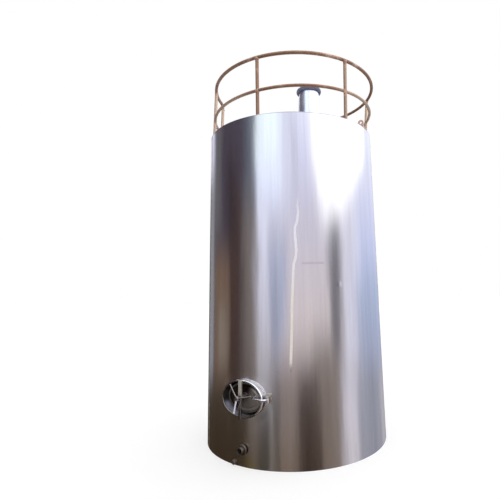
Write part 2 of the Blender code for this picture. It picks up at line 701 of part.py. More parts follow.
def build_top_rail():
    """The top rail, round the rim from one side of the access gap to the other, with its ends bent down."""
    start = POST_HEADS[0]
    end = POST_HEADS[-1]
    bend_angle = math.degrees(END_BEND / TOP_CIRCLE)
    first = []
    last = []
    for index in range(END_BEND_STEPS + 1):
        turn = math.radians(90.0 * index / END_BEND_STEPS)
        along = bend_angle * (1.0 - math.cos(turn))
        height = TOP_RAIL_HEIGHT - END_BEND * (1.0 - math.sin(turn))
        first.append(rail_point(start + along, height))
        last.insert(0, rail_point(end - along, height))
    middle = [
        rail_point(azimuth, TOP_RAIL_HEIGHT)
        for azimuth in arc_azimuths(start + bend_angle, end - bend_angle, RAIL_STEP)
    ]
    line = first + middle[1:-1] + last
    level_ends(tube("top_rail", line, TUBE_RADIUS, RAIL_STEEL), [line[0], line[-1]])


def mid_rail_point(azimuth):
    """A point of the lower rail, which rises a little to the right."""
    point = rail_point(azimuth, MID_RAIL_HEIGHT)
    point.z += MID_RAIL_RISE * point.x
    return point


def post_meeting(index):
    """The azimuth where a post meets the lower rail, and how far from it the rail must end, in degrees."""
    height = MID_RAIL_HEIGHT + MID_RAIL_RISE * post_point(index, MID_RAIL_HEIGHT).x
    point = post_point(index, height)
    shift = FOOT_SHIFT + (TOP_SHIFT - FOOT_SHIFT) * MID_RAIL_HEIGHT / TOP_RAIL_HEIGHT
    azimuth = math.degrees(math.atan2(point.x - shift, -point.y))
    if azimuth < POST_FEET[0] - 1.0:
        azimuth += 360.0
    along = Vector((-point.y, point.x - shift, 0.0))
    radius = along.length
    along.z = MID_RAIL_RISE * along.x
    direction = post_point(index, TOP_RAIL_HEIGHT) - post_point(index, 0.0)
    lean = abs(direction.normalized().dot(along.normalized()))
    clearance = TUBE_RADIUS + JOINT_GAP + MID_TUBE_RADIUS * lean
    return azimuth, math.degrees(clearance / radius)


def build_mid_rails():
    """The lower rail, one bay between each pair of posts."""
    meetings = [post_meeting(index) for index in range(len(POST_NAMES))]
    for index, (first, last) in enumerate(zip(meetings, meetings[1:])):
        start = first[0] + first[1]
        end = last[0] - last[1]
        line = [mid_rail_point(azimuth) for azimuth in arc_azimuths(start, end, RAIL_STEP)]
        tube(f"mid_rail_{index + 1}", line, MID_TUBE_RADIUS, RAIL_STEEL)


def main():
    """Builds the whole tank."""
    build_shell()
    build_manway()
    build_hinge()
    build_nozzles()
    build_lugs()
    build_drive()
    build_posts()
    build_top_rail()
    build_mid_rails()


main()
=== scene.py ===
"""Looks of the vertical storage tank: brushed stainless wall, manway, outlet, guard rail and agitator drive.

Lengths are in metres, in the tank's own frame: the origin is the middle of its base, +Z is up and -Y is its
front. Azimuths are in degrees from the front and grow towards +X. At an azimuth, "along" is the wall's
tangent and "out" is the direction away from the tank's axis.
"""

import math

import bmesh
import bpy
import numpy as np
from mathutils import Matrix


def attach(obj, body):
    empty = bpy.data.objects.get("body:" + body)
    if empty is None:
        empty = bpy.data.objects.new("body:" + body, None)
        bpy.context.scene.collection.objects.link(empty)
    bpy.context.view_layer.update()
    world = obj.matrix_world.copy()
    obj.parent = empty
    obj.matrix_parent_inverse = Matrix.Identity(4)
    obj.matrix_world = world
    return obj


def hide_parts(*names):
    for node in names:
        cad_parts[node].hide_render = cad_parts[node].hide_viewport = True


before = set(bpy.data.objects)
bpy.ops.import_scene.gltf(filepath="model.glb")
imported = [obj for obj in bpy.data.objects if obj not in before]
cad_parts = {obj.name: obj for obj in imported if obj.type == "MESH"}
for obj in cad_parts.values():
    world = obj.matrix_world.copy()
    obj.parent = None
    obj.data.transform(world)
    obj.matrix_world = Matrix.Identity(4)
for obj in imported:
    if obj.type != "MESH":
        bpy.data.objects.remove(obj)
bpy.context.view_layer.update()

# The tank's main sizes, the same as in the solids, and the gap that the solids keep between neighbours
GAP = 0.0003
SHELL_RADIUS = 1.0
WALL_THICKNESS = 0.08
WALL_INNER = SHELL_RADIUS - WALL_THICKNESS
TANK_HEIGHT = 3.45
RIM_THICKNESS = 0.006
WALL_TOP = 3.4437
FLOOR_THICKNESS = 0.08
SHEET_ANGLE = 72.0
FIRST_SEAM = 3.0
PANEL_NAMES = ("front_left", "front_right", "rear_right", "rear", "rear_left")
# The weld between the two front sheets wanders: its azimuth at each height
SEAM_HEIGHTS = (0.90, 1.02, 1.24, 1.48, 1.64, 1.79, 1.87, 1.93, 2.00, 2.16, 2.23, 2.29, 2.39, 2.46, 2.59)
SEAM_AZIMUTHS = (-2.6, -2.3, -1.7, -1.3, -0.7, -0.2, 0.2, 1.3, 1.8, 1.2, 1.3, 2.6, 3.3, 2.9, 4.0)
MANWAY_AZIMUTH = -30.25
MANWAY_HEIGHT = 0.609
NECK_HALVES = np.array((0.2347, 0.1674))
NECK_WALL = 0.006
NECK_ENDS = (0.885, 1.018)
LIP_RADIUS = 0.009
LIP_OUT = NECK_ENDS[1] + GAP + LIP_RADIUS
COVER_HALVES = np.array((0.208, 0.141))
COVER_ENDS = (0.955, 0.965)
GASKET_ENDS = (0.9653, 0.9743)
STUD_HEIGHT = 0.629
STUD_RADIUS = 0.010
STUD_ENDS = (0.9653, 1.128)
BOSS_FRONT = 0.9833
CROSSBAR_ENDS = (1.042, 1.066)
CROSSBAR_HALF_WIDTH = 0.016
CROSSBAR_HALF_LENGTH = 0.178
HUB_ENDS = (1.072, 1.122)
HUB_RADIUS = 0.023
HANDLE_ANGLES = (10.5, 130.5, 250.5)
HANDLE_ROOT = 0.0155
HANDLE_REACH = 0.143
KNOB_RADIUS = 0.0098
HANDLE_RADIUS = 0.0075
HANDLE_LEAN = 0.020
HINGE_AZIMUTH = -14.638
HINGE_HEIGHT = 0.625
PIN_OUT = 1.05907
PIN_RADIUS = 0.0075
KNUCKLE_RADIUS = 0.016
KNUCKLE_HALF_HEIGHT = 0.018
BRACKET_HALVES = np.array((0.023, 0.040))
EAR_RADIUS = 0.017
ARM_RADIUS = 0.009
ARM_RISE = 0.016
# The bends of the cover's arm, as (along, out) in the manway's frame
ARM_ROUTE = np.array((
    (0.2738, 1.0264), (0.259, 1.044), (0.240, 1.053), (0.200, 1.053), (0.160, 1.047), (0.128, 1.030),
    (0.114, 1.003), (0.112, 0.9733)
))
OUTLET_AZIMUTH = -30.5
STAIN_ALONG = 0.045
MARK_PLACE = (0.193, 1.875)
DENT_PLACE = (0.452, -0.892, 1.665)
DENT_RADIUS = 0.040
OUTLET_HEIGHT = 0.155
OUTLET_RADIUS = 0.030
OUTLET_BORE = 0.023
OUTLET_ENDS = (0.915, 1.062)
OUTLET_FLANGE_RADIUS = 0.048
OUTLET_FLANGE_ENDS = (1.010, 1.026)
DRAIN_AZIMUTH = -37.0
DRAIN_HEIGHT = 0.024
DRAIN_RADIUS = 0.022
DRAIN_ENDS = (1.0003, 1.020)
LUG_AZIMUTHS = (58.5, 238.5)
LUG_MIDDLE = 0.963
LUG_RADIUS = 0.034
LUG_EYE_RADIUS = 0.014
LUG_EYE_HEIGHT = 0.070
LUG_THICKNESS = 0.014
ROOF_RADIUS = 0.9197
ROOF_EDGE = 3.444
ROOF_RISE = 0.2293
ROOF_THICKNESS = 0.06
DRIVE_PLACE = (0.268, 0.39)
NECK_TUBE_RADII = (0.100, 0.110)
NECK_TUBE_ENDS = (3.44, 3.68)
DRIVE_FLANGE_RADIUS = 0.160
DRIVE_FLANGE_ENDS = (3.6803, 3.6963)
STOOL_ENDS = (3.6966, 3.8297)
STOOL_PLATE = 0.014
GEARBOX_ENDS = (3.83, 3.9497)
GEARBOX_RADIUS = 0.093
HOOD_ENDS = (3.95, 4.3347)
HOOD_RADII = (0.160, 0.140)
CAP_ENDS = (4.335, 4.395)
CAP_RADIUS = 0.174
HOOD_SEAM = 240.0
POST_FEET = (-104.0, -82.0, -21.4, 38.3, 96.0, 156.0, 216.0)
POST_HEADS = (-104.0, -82.0, -24.0, 34.2, 100.0, 157.0, 216.0)
POST_NODES = ("gap_post_left", "rail_post_left", "rail_post_front_left", "rail_post_front_right",
              "rail_post_right", "rail_post_rear", "gap_post_rear")
TUBE_RADIUS = 0.019
MID_TUBE_RADIUS = 0.017
CAGE_RADII = (0.970, 0.999)
CAGE_SHIFTS = (0.008, 0.057)
TOP_RAIL_HEIGHT = 0.668
MID_RAIL_HEIGHT = 0.298
MID_RAIL_RISE = 0.035
END_BEND = 0.075
RAIL_BEAD = 0.0036
UP = np.array((0.0, 0.0, 1.0))


# Frames and shapes


def direction(azimuth):
    """The level unit vector at an azimuth: (sine, minus cosine, 0)."""
    angle = np.radians(azimuth)
    return np.stack((np.sin(angle), -np.cos(angle), np.zeros_like(angle)), -1)


def around(azimuth, radius, height):
    """Points at azimuths, distances from the tank's axis and heights."""
    azimuth, radius, height = np.broadcast_arrays(azimuth, radius, height)
    points = direction(azimuth) * radius[..., None]
    points[..., 2] = height
    return points


def radial_frame(azimuth, height, x=0.0, y=0.0):
    """Rows of a frame at an azimuth: along the tangent, up, out, and an origin, mostly on the tank's axis."""
    return np.array((direction(azimuth + 90.0), UP, direction(azimuth), (x, y, height)))


def level_frame(azimuth, middle):
    """Rows of a frame at an azimuth with its third axis up: along the tangent, out, up, and its origin."""
    return np.array((direction(azimuth + 90.0), direction(azimuth), UP, middle))


def upright_frame(x=0.0, y=0.0, z=0.0):
    """Rows of a frame with the tank's own axes, at a place."""
    return np.array((*np.eye(3), (x, y, z)))


def placed(points, rows):
    """Points of a frame in the tank's frame: each is a weighted sum of the frame's axes, plus its origin."""
    return np.asarray(points, float) @ rows[:3] + rows[3]


def shifted(rows, middle):
    """A frame with its origin moved to one of its own points."""
    return np.array((*rows[:3], placed(middle, rows)))


def grid_faces(rows, columns, close_rows, close_columns):
    """The quads of a grid of points numbered row by row, joined round where asked."""
    row, column = np.mgrid[:rows - (not close_rows), :columns - (not close_columns)]
    here = row * columns
    ahead = (row + 1) % rows * columns
    beside = (column + 1) % columns
    return np.stack((here + column, here + beside, ahead + beside, ahead + column), -1).reshape(-1, 4)


def loft(loops, close_rows=False, close_columns=True):
    """A surface through rows of points: (points, faces) of the grid that the rows make."""
    rows, columns = loops.shape[:2]
    return loops.reshape(-1, 3), grid_faces(rows, columns, close_rows, close_columns)


def joined(*shapes):
    """Several (points, faces) shapes as one."""
    points, faces = zip(*shapes)
    firsts = np.cumsum([0] + [len(own) for own in points[:-1]])
    return np.concatenate(points), np.concatenate([own + first for own, first in zip(faces, firsts)])


def circle(size, steps, phase=0.0):
    """Points of a circle or an ellipse: (cosine, sine) times its radius or its two halves."""
    turn = 2.0 * np.pi * (np.arange(steps) + phase) / steps
    return size * np.stack((np.cos(turn), np.sin(turn)), -1)


def at_height(outline, height):
    """An outline's points with a height as their third part."""
    return np.insert(outline, 2, height, axis=-1)


def on_wall(outline, lift):
    """An outline of (along, up) laid on the wall, with out the root of R^2 - along^2, plus a lift."""
    return at_height(outline, np.sqrt(SHELL_RADIUS ** 2 - outline[:, 0] ** 2) + lift)


def softened(profile, radius, steps=3, ring=False):
    """A profile with its corners rounded: each becomes a parabola between points at most a radius away.

    The parabola is the blend (1 - t)^2 start + 2 t (1 - t) corner + t^2 end.
    """
    corners = np.asarray(profile, float)
    ends = []
    for neighbour in (1, -1):
        away = np.roll(corners, neighbour, axis=0) - corners
        length = np.linalg.norm(away, axis=1, keepdims=True) + 1e-9
        ends.append((corners + away / length * np.minimum(radius, length * 0.45))[:, None])
    t = np.linspace(0.0, 1.0, steps + 1)[:, None]
    curve = (1.0 - t) ** 2 * ends[0] + 2.0 * t * (1.0 - t) * corners[:, None] + t ** 2 * ends[1]
    if ring:
        return curve.reshape(-1, 2)
    return np.concatenate((corners[:1], curve[1:-1].reshape(-1, 2), corners[-1:]))


def capped(loops, ends):
    """Rows of points, closed at both ends by rows that all lie at one point."""
    caps = np.repeat(np.reshape(ends, (2, 1, 3)), loops.shape[1], axis=1)
    return np.concatenate((caps[:1], loops, caps[1:]))


def layered(inner, outer, section, rows, ring=False):
    """A surface between two outlines of as many points: for each (t, height) of a section, it has a row of
    inner + (outer - inner) t at that height of the frame."""
    section = np.asarray(section, float)[:, None]
    flat = inner + (outer - inner) * section[..., :1]
    return loft(placed(at_height(flat, section[..., 1]), rows), close_rows=ring)


def turned(profile, rows, steps=48, ring=False, halves=1.0):
    """A profile of (radius, height) turned about a frame's third axis: (a r cos t, b r sin t, h), with a and
    b the halves of an ellipse, or 1."""
    return layered(0.0, circle(halves, steps), profile, rows, ring)


def tube(inner, outer, low, high, soft, rows, steps=48, curve=3):
    """A rectangle of radii and heights with softened corners, turned: a tube, or a disc without an inner
    radius."""
    corners = ((inner, high), (outer, high), (outer, low), (inner, low))
    ring = inner > 0.0
    return turned(softened(corners, soft, curve, ring), rows, steps, ring)


def plate(inner, outer, low, high, rows, bevel):
    """A flat ring between two outlines, with softened edges: its section is a rectangle with cut corners."""
    share = bevel / np.linalg.norm(outer - inner, axis=1).mean()
    section = (
        (share, low), (1.0 - share, low), (1.0, low + bevel), (1.0, high - bevel),
        (1.0 - share, high), (share, high), (0.0, high - bevel), (0.0, low + bevel),
    )
    return layered(inner, outer, section, rows, ring=True)


def swept(path, section, reference=UP, closed=False, scale=1.0):
    """A section carried along a path, square to it: point + u side + v top, where side is the path's
    direction crossed with the reference, and top is side crossed with the direction. An open end is closed
    to its middle."""
    if closed:
        run = np.roll(path, -1, axis=0) - np.roll(path, 1, axis=0)
    else:
        run = np.gradient(path, axis=0)
    run /= np.linalg.norm(run, axis=1, keepdims=True)
    side = np.cross(run, reference)
    side /= np.linalg.norm(side, axis=1, keepdims=True)
    top = np.cross(side, run)
    size = np.broadcast_to(scale, len(path))[:, None, None]
    loops = path[:, None] + size * (section[:, :1] * side[:, None] + section[:, 1:] * top[:, None])
    return loft(loops, close_rows=True) if closed else loft(capped(loops, path[[0, -1]]))


def bead(path, radius, closed=False, reference=UP, ripple=0.006):
    """A weld bead: a small round section along a path. At length s its size is
    1 + 0.13 cos(2 pi s / ripple) + 0.06 sin(97 s)."""
    steps = np.linalg.norm(np.diff(path, axis=0), axis=1)
    length = np.concatenate(((0.0,), np.cumsum(steps)))
    size = 1.0 + 0.13 * np.cos(2.0 * np.pi * length / ripple) + 0.06 * np.sin(97.0 * length)
    return swept(path, circle(radius, 8), reference, closed, size)


def moved(shape, rows):
    """A shape drawn in a frame, taken to the tank's frame."""
    return placed(shape[0], rows), shape[1]


def smooth_line(points, steps=8):
    """A smooth line through points. Between b and c, whose neighbours are a and d, it is half of
    2b + (c - a) t + (2a - 5b + 4c - d) t^2 + (3b - a - 3c + d) t^3."""
    points = np.asarray(points, float)
    padded = np.concatenate((2.0 * points[:1] - points[1:2], points, 2.0 * points[-1:] - points[-2:-1]))
    a, b, c, d = (padded[i:len(padded) - 3 + i, None] for i in range(4))
    t = (np.arange(steps) / steps)[None, :, None]
    line = 0.5 * (
        2.0 * b + (c - a) * t + (2.0 * a - 5.0 * b + 4.0 * c - d) * t ** 2
        + (3.0 * b - a - 3.0 * c + d) * t ** 3
    )
    return np.concatenate((line.reshape(-1, points.shape[1]), points[-1:]))


def squared(halves, steps=32, power=0.3):
    """A squared-off ellipse: the halves times cosine and sine, each raised to a power below 1."""
    round_one = circle(1.0, steps, 0.5)
    return np.sign(round_one) * np.abs(round_one) ** power * halves


def slab(outline, low, high, rows, bevel):
    """An outline made into a plate: middle + (outline - middle) t at heights from low to high, where t falls
    a little under 1 at both faces, which softens the edges, and to 0 at their middles."""
    middle = outline.mean(0)
    share = bevel / np.linalg.norm(outline - middle, axis=1).mean()
    section = (
        (0.0, low), (1.0 - share, low), (1.0 - 0.3 * share, low + 0.3 * bevel), (1.0, low + bevel),
        (1.0, high - bevel), (1.0 - 0.3 * share, high - 0.3 * bevel), (1.0 - share, high), (0.0, high),
    )
    return layered(middle, outline, section, rows)


def threaded(radius, low, high, rows, pitch=0.0025, depth=0.0010, steps=24):
    """A threaded rod: at height h and turn t its radius falls by the depth times a triangle wave of
    h / pitch + t / 2 pi, and by up to the depth more at its two ends."""
    heights = np.arange(low, high, pitch / 5.0)
    phase = (heights[:, None] / pitch + np.arange(steps) / steps) % 1.0
    chamfer = np.clip(1.0 - np.minimum(heights - low, high - heights) / 0.0015, 0.0, 1.0)[:, None]
    size = radius - depth * (np.abs(2.0 * phase - 1.0) + chamfer)
    loops = at_height(size[..., None] * circle(1.0, steps), heights[:, None])
    ends = heights[[0, -1], None] * UP
    return loft(placed(capped(loops, ends), rows))


def weld_ring(radius, height, rows, size=0.003, steps=96):
    """A round weld bead at a height of a frame."""
    return moved(bead(at_height(circle(radius, steps), height), size, closed=True), rows)


def make_piece(name, shape, finish, node=None, body="tank", sharp=35.0):
    """Puts a (points, faces) shape into a mesh object: merges its poles, turns its faces outwards, shades it
    smooth between sharp edges, lets it ride on its body, and lets it stand in for a node of the solids."""
    points, faces = shape
    mesh = bpy.data.meshes.new(name)
    mesh.from_pydata(points.tolist(), [], faces.tolist())
    work = bmesh.new()
    work.from_mesh(mesh)
    bmesh.ops.remove_doubles(work, verts=work.verts, dist=1e-6)
    bmesh.ops.recalc_face_normals(work, faces=work.faces)
    work.to_mesh(mesh)
    work.free()
    mesh.shade_smooth()
    mesh.set_sharp_from_angle(angle=math.radians(sharp))
    mesh.materials.append(finish)
    piece = bpy.data.objects.new(name, mesh)
    bpy.context.scene.collection.objects.link(piece)
    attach(piece, body)
    if node:
        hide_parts(node)


# Finishes


class Link:
    """An output of a node. Arithmetic on it adds Math nodes to the same finish."""

    def __init__(self, finish, socket):
        self.finish = finish
        self.socket = socket

    def maths(self, operation, *others):
        """This output and others through a Math node."""
        return self.finish.node("ShaderNodeMath", {"operation": operation}, [self, *others])

    def __add__(self, other):
        return self.maths("ADD", other)

    def __sub__(self, other):
        return self.maths("SUBTRACT", other)

    def __rsub__(self, other):
        return self.finish.node("ShaderNodeMath", {"operation": "SUBTRACT"}, [other, self])

    def __mul__(self, other):
        return self.maths("MULTIPLY", other)

    def __truediv__(self, other):
        return self.maths("DIVIDE", other)

    def __pow__(self, other):
        return self.maths("POWER", other)

    def __abs__(self):
        return self.maths("ABSOLUTE")

    __radd__ = __add__
    __rmul__ = __mul__


class Finish:
    """A material, or the world, whose nodes are made by one method. Its point is the place on the object in
    metres, or the direction in the world."""

    def __init__(self, owner, coordinates="Object"):
        owner.use_nodes = True
        self.owner = owner
        self.tree = owner.node_tree
        self.tree.nodes.clear()
        self.point = self.node("ShaderNodeTexCoord", output=coordinates)
        parts = self.node("ShaderNodeSeparateXYZ", inputs=[self.point]).socket.node.outputs
        self.x, self.y, self.z = (Link(self, part) for part in parts)

    def node(self, kind, settings=None, inputs=(), output=0):
        """A node of a kind: its settings come first, then its inputs' values or links. Gives one output."""
        made = self.tree.nodes.new(kind)
        for key, value in (settings or {}).items():
            if key == "stops":
                self.set_stops(made.color_ramp, value)
            else:
                setattr(made, key, value)
        pairs = inputs.items() if isinstance(inputs, dict) else enumerate(inputs)
        for key, value in pairs:
            if isinstance(value, Link):
                self.tree.links.new(value.socket, made.inputs[key])
            else:
                made.inputs[key].default_value = value
        return Link(self, made.outputs[output]) if made.outputs else None

    def set_stops(self, ramp, stops):
        """A ramp's stops, as pairs of place and colour."""
        while len(ramp.elements) > 1:
            ramp.elements.remove(ramp.elements[-1])
        ramp.elements[0].position = stops[0][0]
        ramp.elements[0].color = (*stops[0][1], 1.0)
        for place, colour in stops[1:]:
            ramp.elements.new(place).color = (*colour, 1.0)

    def step(self, value, low, high):
        """0 below one value and 1 above another, smooth between them."""
        inputs = {"Value": value, "From Min": low, "From Max": high}
        return self.node("ShaderNodeMapRange", {"interpolation_type": "SMOOTHSTEP"}, inputs)

    def mix(self, share, *colours):
        """A colour between two others."""
        first, second = (colour if isinstance(colour, Link) else (*colour, 1.0) for colour in colours)
        return self.node("ShaderNodeMix", {"data_type": "RGBA"}, {0: share, 6: first, 7: second}, 2)

    def along(self, azimuth):
        """How far a point is to the right of an azimuth's middle line, as seen from outside."""
        angle = math.radians(azimuth)
        return self.x * math.cos(angle) + self.y * math.sin(angle)

    def noise(self, scale, detail=3.0, stretch=(1.0, 1.0, 1.0), roughness=0.5):
        """Noise between 0 and 1, on a stretched copy of the point."""
        stretched = self.node("ShaderNodeMapping", inputs={"Vector": self.point, "Scale": stretch})
        inputs = {"Vector": stretched, "Scale": scale, "Detail": detail, "Roughness": roughness}
        return self.node("ShaderNodeTexNoise", inputs=inputs)

    def bump(self, height, distance, strength, normal=None):
        """A Bump node's normal, on top of another one."""
        inputs = {"Height": height, "Distance": distance, "Strength": strength}
        if normal:
            inputs["Normal"] = normal
        return self.node("ShaderNodeBump", inputs=inputs)

    def shade(self, **inputs):
        """Ends the material in a Principled shader with these inputs."""
        named = {key.replace("_", " "): value for key, value in inputs.items()}
        self.node("ShaderNodeOutputMaterial", inputs=[self.node("ShaderNodeBsdfPrincipled", inputs=named)])
        return self.owner


def new_finish(name):
    """An empty material to build."""
    return Finish(bpy.data.materials.new(name))


def wall_finish():
    """Brushed stainless sheet: upright streaks, slow waves, water marks, a foot that is darker and browner
    towards the bottom and more so on the left, a stain under the outlet, a short level mark right of the
    seam, and a dent."""
    f = new_finish("wall_steel")
    streaks = f.noise(9.0, 4.0, (1.0, 1.0, 0.035))
    fine = f.noise(60.0, 3.0, (1.0, 1.0, 0.03))
    clouds = f.noise(1.7, 3.0, (1.0, 1.0, 0.5))
    grain = f.noise(240.0, 2.0, (0.08, 0.08, 1.0))
    marks = f.noise(16.0, 5.0, (1.0, 1.0, 0.12), 0.62)
    in_front = f.step(f.y, 0.0, -0.2)
    base = f.mix(f.step(streaks, 0.3, 0.7), (0.67, 0.665, 0.70), (0.76, 0.755, 0.775))
    base = f.mix(f.step(fine, 0.35, 0.75) * 0.25, base, (0.62, 0.61, 0.64))
    drips = f.step(marks, 0.56, 0.74) * f.step(f.z, 3.3, 0.2) * 0.30
    base = f.mix(drips, base, (0.55, 0.53, 0.53))
    # Darker and browner towards the foot, and more so on the left.
    dirt = f.step(f.z + (clouds - 0.5) * 0.3, 0.50, 0.02) * (0.35 + marks * 0.75)
    dirt = dirt * (0.2 + f.step(f.x, 0.25, -0.25) * 0.8)
    base = f.mix(dirt * 0.75, base, (0.46, 0.38, 0.26))
    beside = abs(f.along(OUTLET_AZIMUTH) - STAIN_ALONG) + (clouds - 0.5) * 0.16 + (marks - 0.5) * 0.06
    stain = f.step(beside, 0.11, 0.0) * f.step(f.z + (marks - 0.5) * 0.05, 0.15, 0.05) * in_front
    base = f.mix(stain * 0.75, base, (0.60, 0.54, 0.26))
    mark_x, mark_z = MARK_PLACE
    level_mark = f.step(abs(f.z - mark_z), 0.018, 0.003) * in_front * f.step(abs(f.x - mark_x), 0.116, 0.104)
    base = f.mix(level_mark * 0.5, base, (0.50, 0.49, 0.51))
    normal = f.bump(f.noise(2.6, 2.0, (1.0, 1.0, 0.22)), 0.012, 0.55)
    normal = f.bump(f.noise(11.0, 3.0, (1.0, 1.0, 0.10)), 0.0016, 0.6, normal)
    normal = f.bump(grain * 0.5 + fine * 0.5, 0.00012, 0.5, normal)
    from_dent = sum((part - own) ** 2.0 for part, own in zip((f.x, f.y, f.z), DENT_PLACE)) ** 0.5
    normal = f.bump(f.step(from_dent, DENT_RADIUS, 0.0), 0.0009, 1.0, normal)
    rough = 0.15 + streaks * 0.04 + clouds * 0.03 + dirt * 0.03 + drips * 0.05
    return f.shade(Base_Color=base, Metallic=1.0, Roughness=rough, Normal=normal, Anisotropic=0.35)


def plain_metal(name, light, dark, rough, scale, dirt, dirt_colour=(0.20, 0.17, 0.14), metallic=1.0):
    """Metal with slow tone changes, fine scratches and grime in patches."""
    f = new_finish(name)
    tone = f.noise(scale * 0.25)
    scratch = f.noise(scale * 6.0, 3.0, (1.0, 0.15, 1.0))
    grime = f.step(f.noise(scale * 0.6, 5.0, roughness=0.65), 0.48, 0.70) * dirt
    base = f.mix(grime, f.mix(f.step(tone, 0.32, 0.68), dark, light), dirt_colour)
    return f.shade(
        Base_Color=base, Metallic=metallic - grime * 0.5 * metallic,
        Roughness=rough + tone * 0.10 + scratch * 0.05 + grime * 0.25, Normal=f.bump(scratch, 0.0002, 0.35)
    )


def neck_finish():
    """The manway's neck: like the wall outside; inside, painted shade, near black on the left and dim olive
    on the right, with a painted pale blue reflection low on its left.
    """
    f = new_finish("manway_steel")
    along = f.along(MANWAY_AZIMUTH)
    up = f.z - MANWAY_HEIGHT
    wide, high = (NECK_HALVES - NECK_WALL / 2.0).tolist()
    inner = f.step(((along / wide) ** 2.0 + (up / high) ** 2.0) ** 0.5, 1.0, 0.985)
    marks = f.noise(30.0, 4.0, roughness=0.6)
    outside = f.mix(f.step(marks, 0.4, 0.7), (0.56, 0.54, 0.54), (0.68, 0.66, 0.67))
    # Inside the neck: painted shade, near black on the left and dim olive on the right.
    painted_inside = f.mix(f.step(along, -0.06, 0.02), (0.020, 0.015, 0.013), (0.19, 0.155, 0.115))
    # A painted pale blue reflection low on the left of the inside.
    painted_reflection = f.step(up + along * 0.1, -0.05, -0.10) * f.step(along + (marks - 0.5) * 0.08, 0.07, -0.12)
    painted_inside = f.mix(painted_reflection, painted_inside, (0.46, 0.46, 0.58))
    return f.shade(
        Base_Color=f.mix(inner, outside, painted_inside), Metallic=1.0 - inner * 0.85, Roughness=0.17 + inner * 0.3,
        Normal=f.bump(marks, 0.0003, 0.4)
    )


def lit_and_shaded_metal(name, light, dark, rough, lit_share_of, grime, lit_metallic=1.0):
    """Metal with painted light and shade: a lit colour in one part and a shaded colour in another. A function
    of the finish and a point's distance to the right of the manway's middle gives the lit part's share."""
    f = new_finish(name)
    tone = f.noise(22.0, 4.0, roughness=0.6)
    scratch = f.noise(180.0, 3.0, (1.0, 0.15, 1.0))
    share = lit_share_of(f, f.along(MANWAY_AZIMUTH))
    spots = f.step(tone, 0.50, 0.72) * grime
    return f.shade(
        Base_Color=f.mix(spots, f.mix(share, dark, light), (0.16, 0.135, 0.11)),
        Metallic=1.0 - spots * 0.5 - share * (1.0 - lit_metallic),
        Roughness=rough + tone * 0.10 + spots * 0.3, Normal=f.bump(scratch, 0.0002, 0.35)
    )


def seam_finish():
    """The ground weld of the wall: cream in its middle, partly its own tone and partly a painted highlight,
    paler and bluer above, which is a painted reflection of the sky, and like the sheet at its ends."""
    f = new_finish("ground_weld")
    marks = f.noise(30.0, 4.0, (1.0, 1.0, 0.3), 0.6)
    # The cream middle: partly the weld's own tone, partly a painted highlight.
    cream = f.step(f.z + (marks - 0.5) * 0.1, 0.84, 1.0) * f.step(f.z + (marks - 0.5) * 0.2, 2.68, 2.20)
    paler_tone = f.mix(marks, (0.72, 0.67, 0.60), (0.88, 0.84, 0.78))
    # Paler and bluer above: a painted reflection of the sky.
    paler_tone = f.mix(f.step(f.z, 1.45, 1.95), paler_tone, (0.80, 0.78, 0.82))
    return f.shade(
        Base_Color=f.mix(cream, (0.72, 0.715, 0.745), paler_tone), Metallic=1.0 - cream * 0.7,
        Roughness=0.18 + cream * 0.24, Normal=f.bump(marks, 0.0003, 0.4)
    )


def rail_finish():
    """Stainless tube that has gone brown outdoors: warm and streaky, with pale worn patches. It has painted
    highlights: it is paler on the left, and on the posts and the lower rail at both sides."""
    f = new_finish("rail_steel")
    patches = f.noise(5.0, 4.0, roughness=0.6)
    streaks = f.noise(70.0, 3.0, (1.0, 1.0, 0.2))
    base = f.mix(f.step(patches, 0.52, 0.70), (0.30, 0.165, 0.105), (0.60, 0.41, 0.32))
    base = f.mix(f.step(streaks, 0.45, 0.75) * 0.45, base, (0.20, 0.105, 0.065))
    # Painted highlights: the posts and the lower rail are paler at both sides.
    highlit_sides = f.step(abs(f.x - 0.05), 0.35, 0.75) * f.step(f.z, 4.10, 4.04)
    base = f.mix(highlit_sides * 0.45, base, (0.78, 0.62, 0.47))
    # Paler on the left: a painted highlight.
    base = f.mix(f.step(f.x, -0.3, -0.8) * 0.35, base, (0.74, 0.54, 0.43))
    return f.shade(
        Base_Color=base, Metallic=0.65, Roughness=0.34 + patches * 0.10 + streaks * 0.06,
        Normal=f.bump(streaks, 0.0003, 0.4)
    )


def paint_finish(name, colour, paler_tone, rough):
    """Sprayed paint: orange peel and faded patches."""
    f = new_finish(name)
    patches = f.noise(12.0, 4.0)
    base = f.mix(f.step(patches, 0.42, 0.72) * 0.7, colour, paler_tone)
    return f.shade(
        Base_Color=base, Roughness=rough + patches * 0.15, Normal=f.bump(f.noise(260.0, 2.0), 0.0002, 0.4)
    )


WALL = wall_finish()
BRIGHT = plain_metal("bright_steel", (0.86, 0.85, 0.86), (0.74, 0.73, 0.75), 0.12, 30.0, 0.15)
DULL = plain_metal("dull_steel", (0.50, 0.48, 0.47), (0.33, 0.31, 0.30), 0.30, 24.0, 0.55)
ROOF = plain_metal("roof_steel", (0.72, 0.72, 0.74), (0.58, 0.58, 0.60), 0.24, 10.0, 0.45)
WELD = plain_metal("weld_metal", (0.70, 0.68, 0.64), (0.45, 0.40, 0.35), 0.25, 90.0, 0.25)
NECK = neck_finish()
# The lip: a painted highlight on its upper right, and painted shade on its lower left.
LIP = lit_and_shaded_metal(
    "lip_steel", (0.93, 0.90, 0.92), (0.25, 0.23, 0.21), 0.20,
    lambda f, along: f.step(along * 0.8 + (f.z - MANWAY_HEIGHT) * 0.6, 0.02, 0.11), 0.15
)
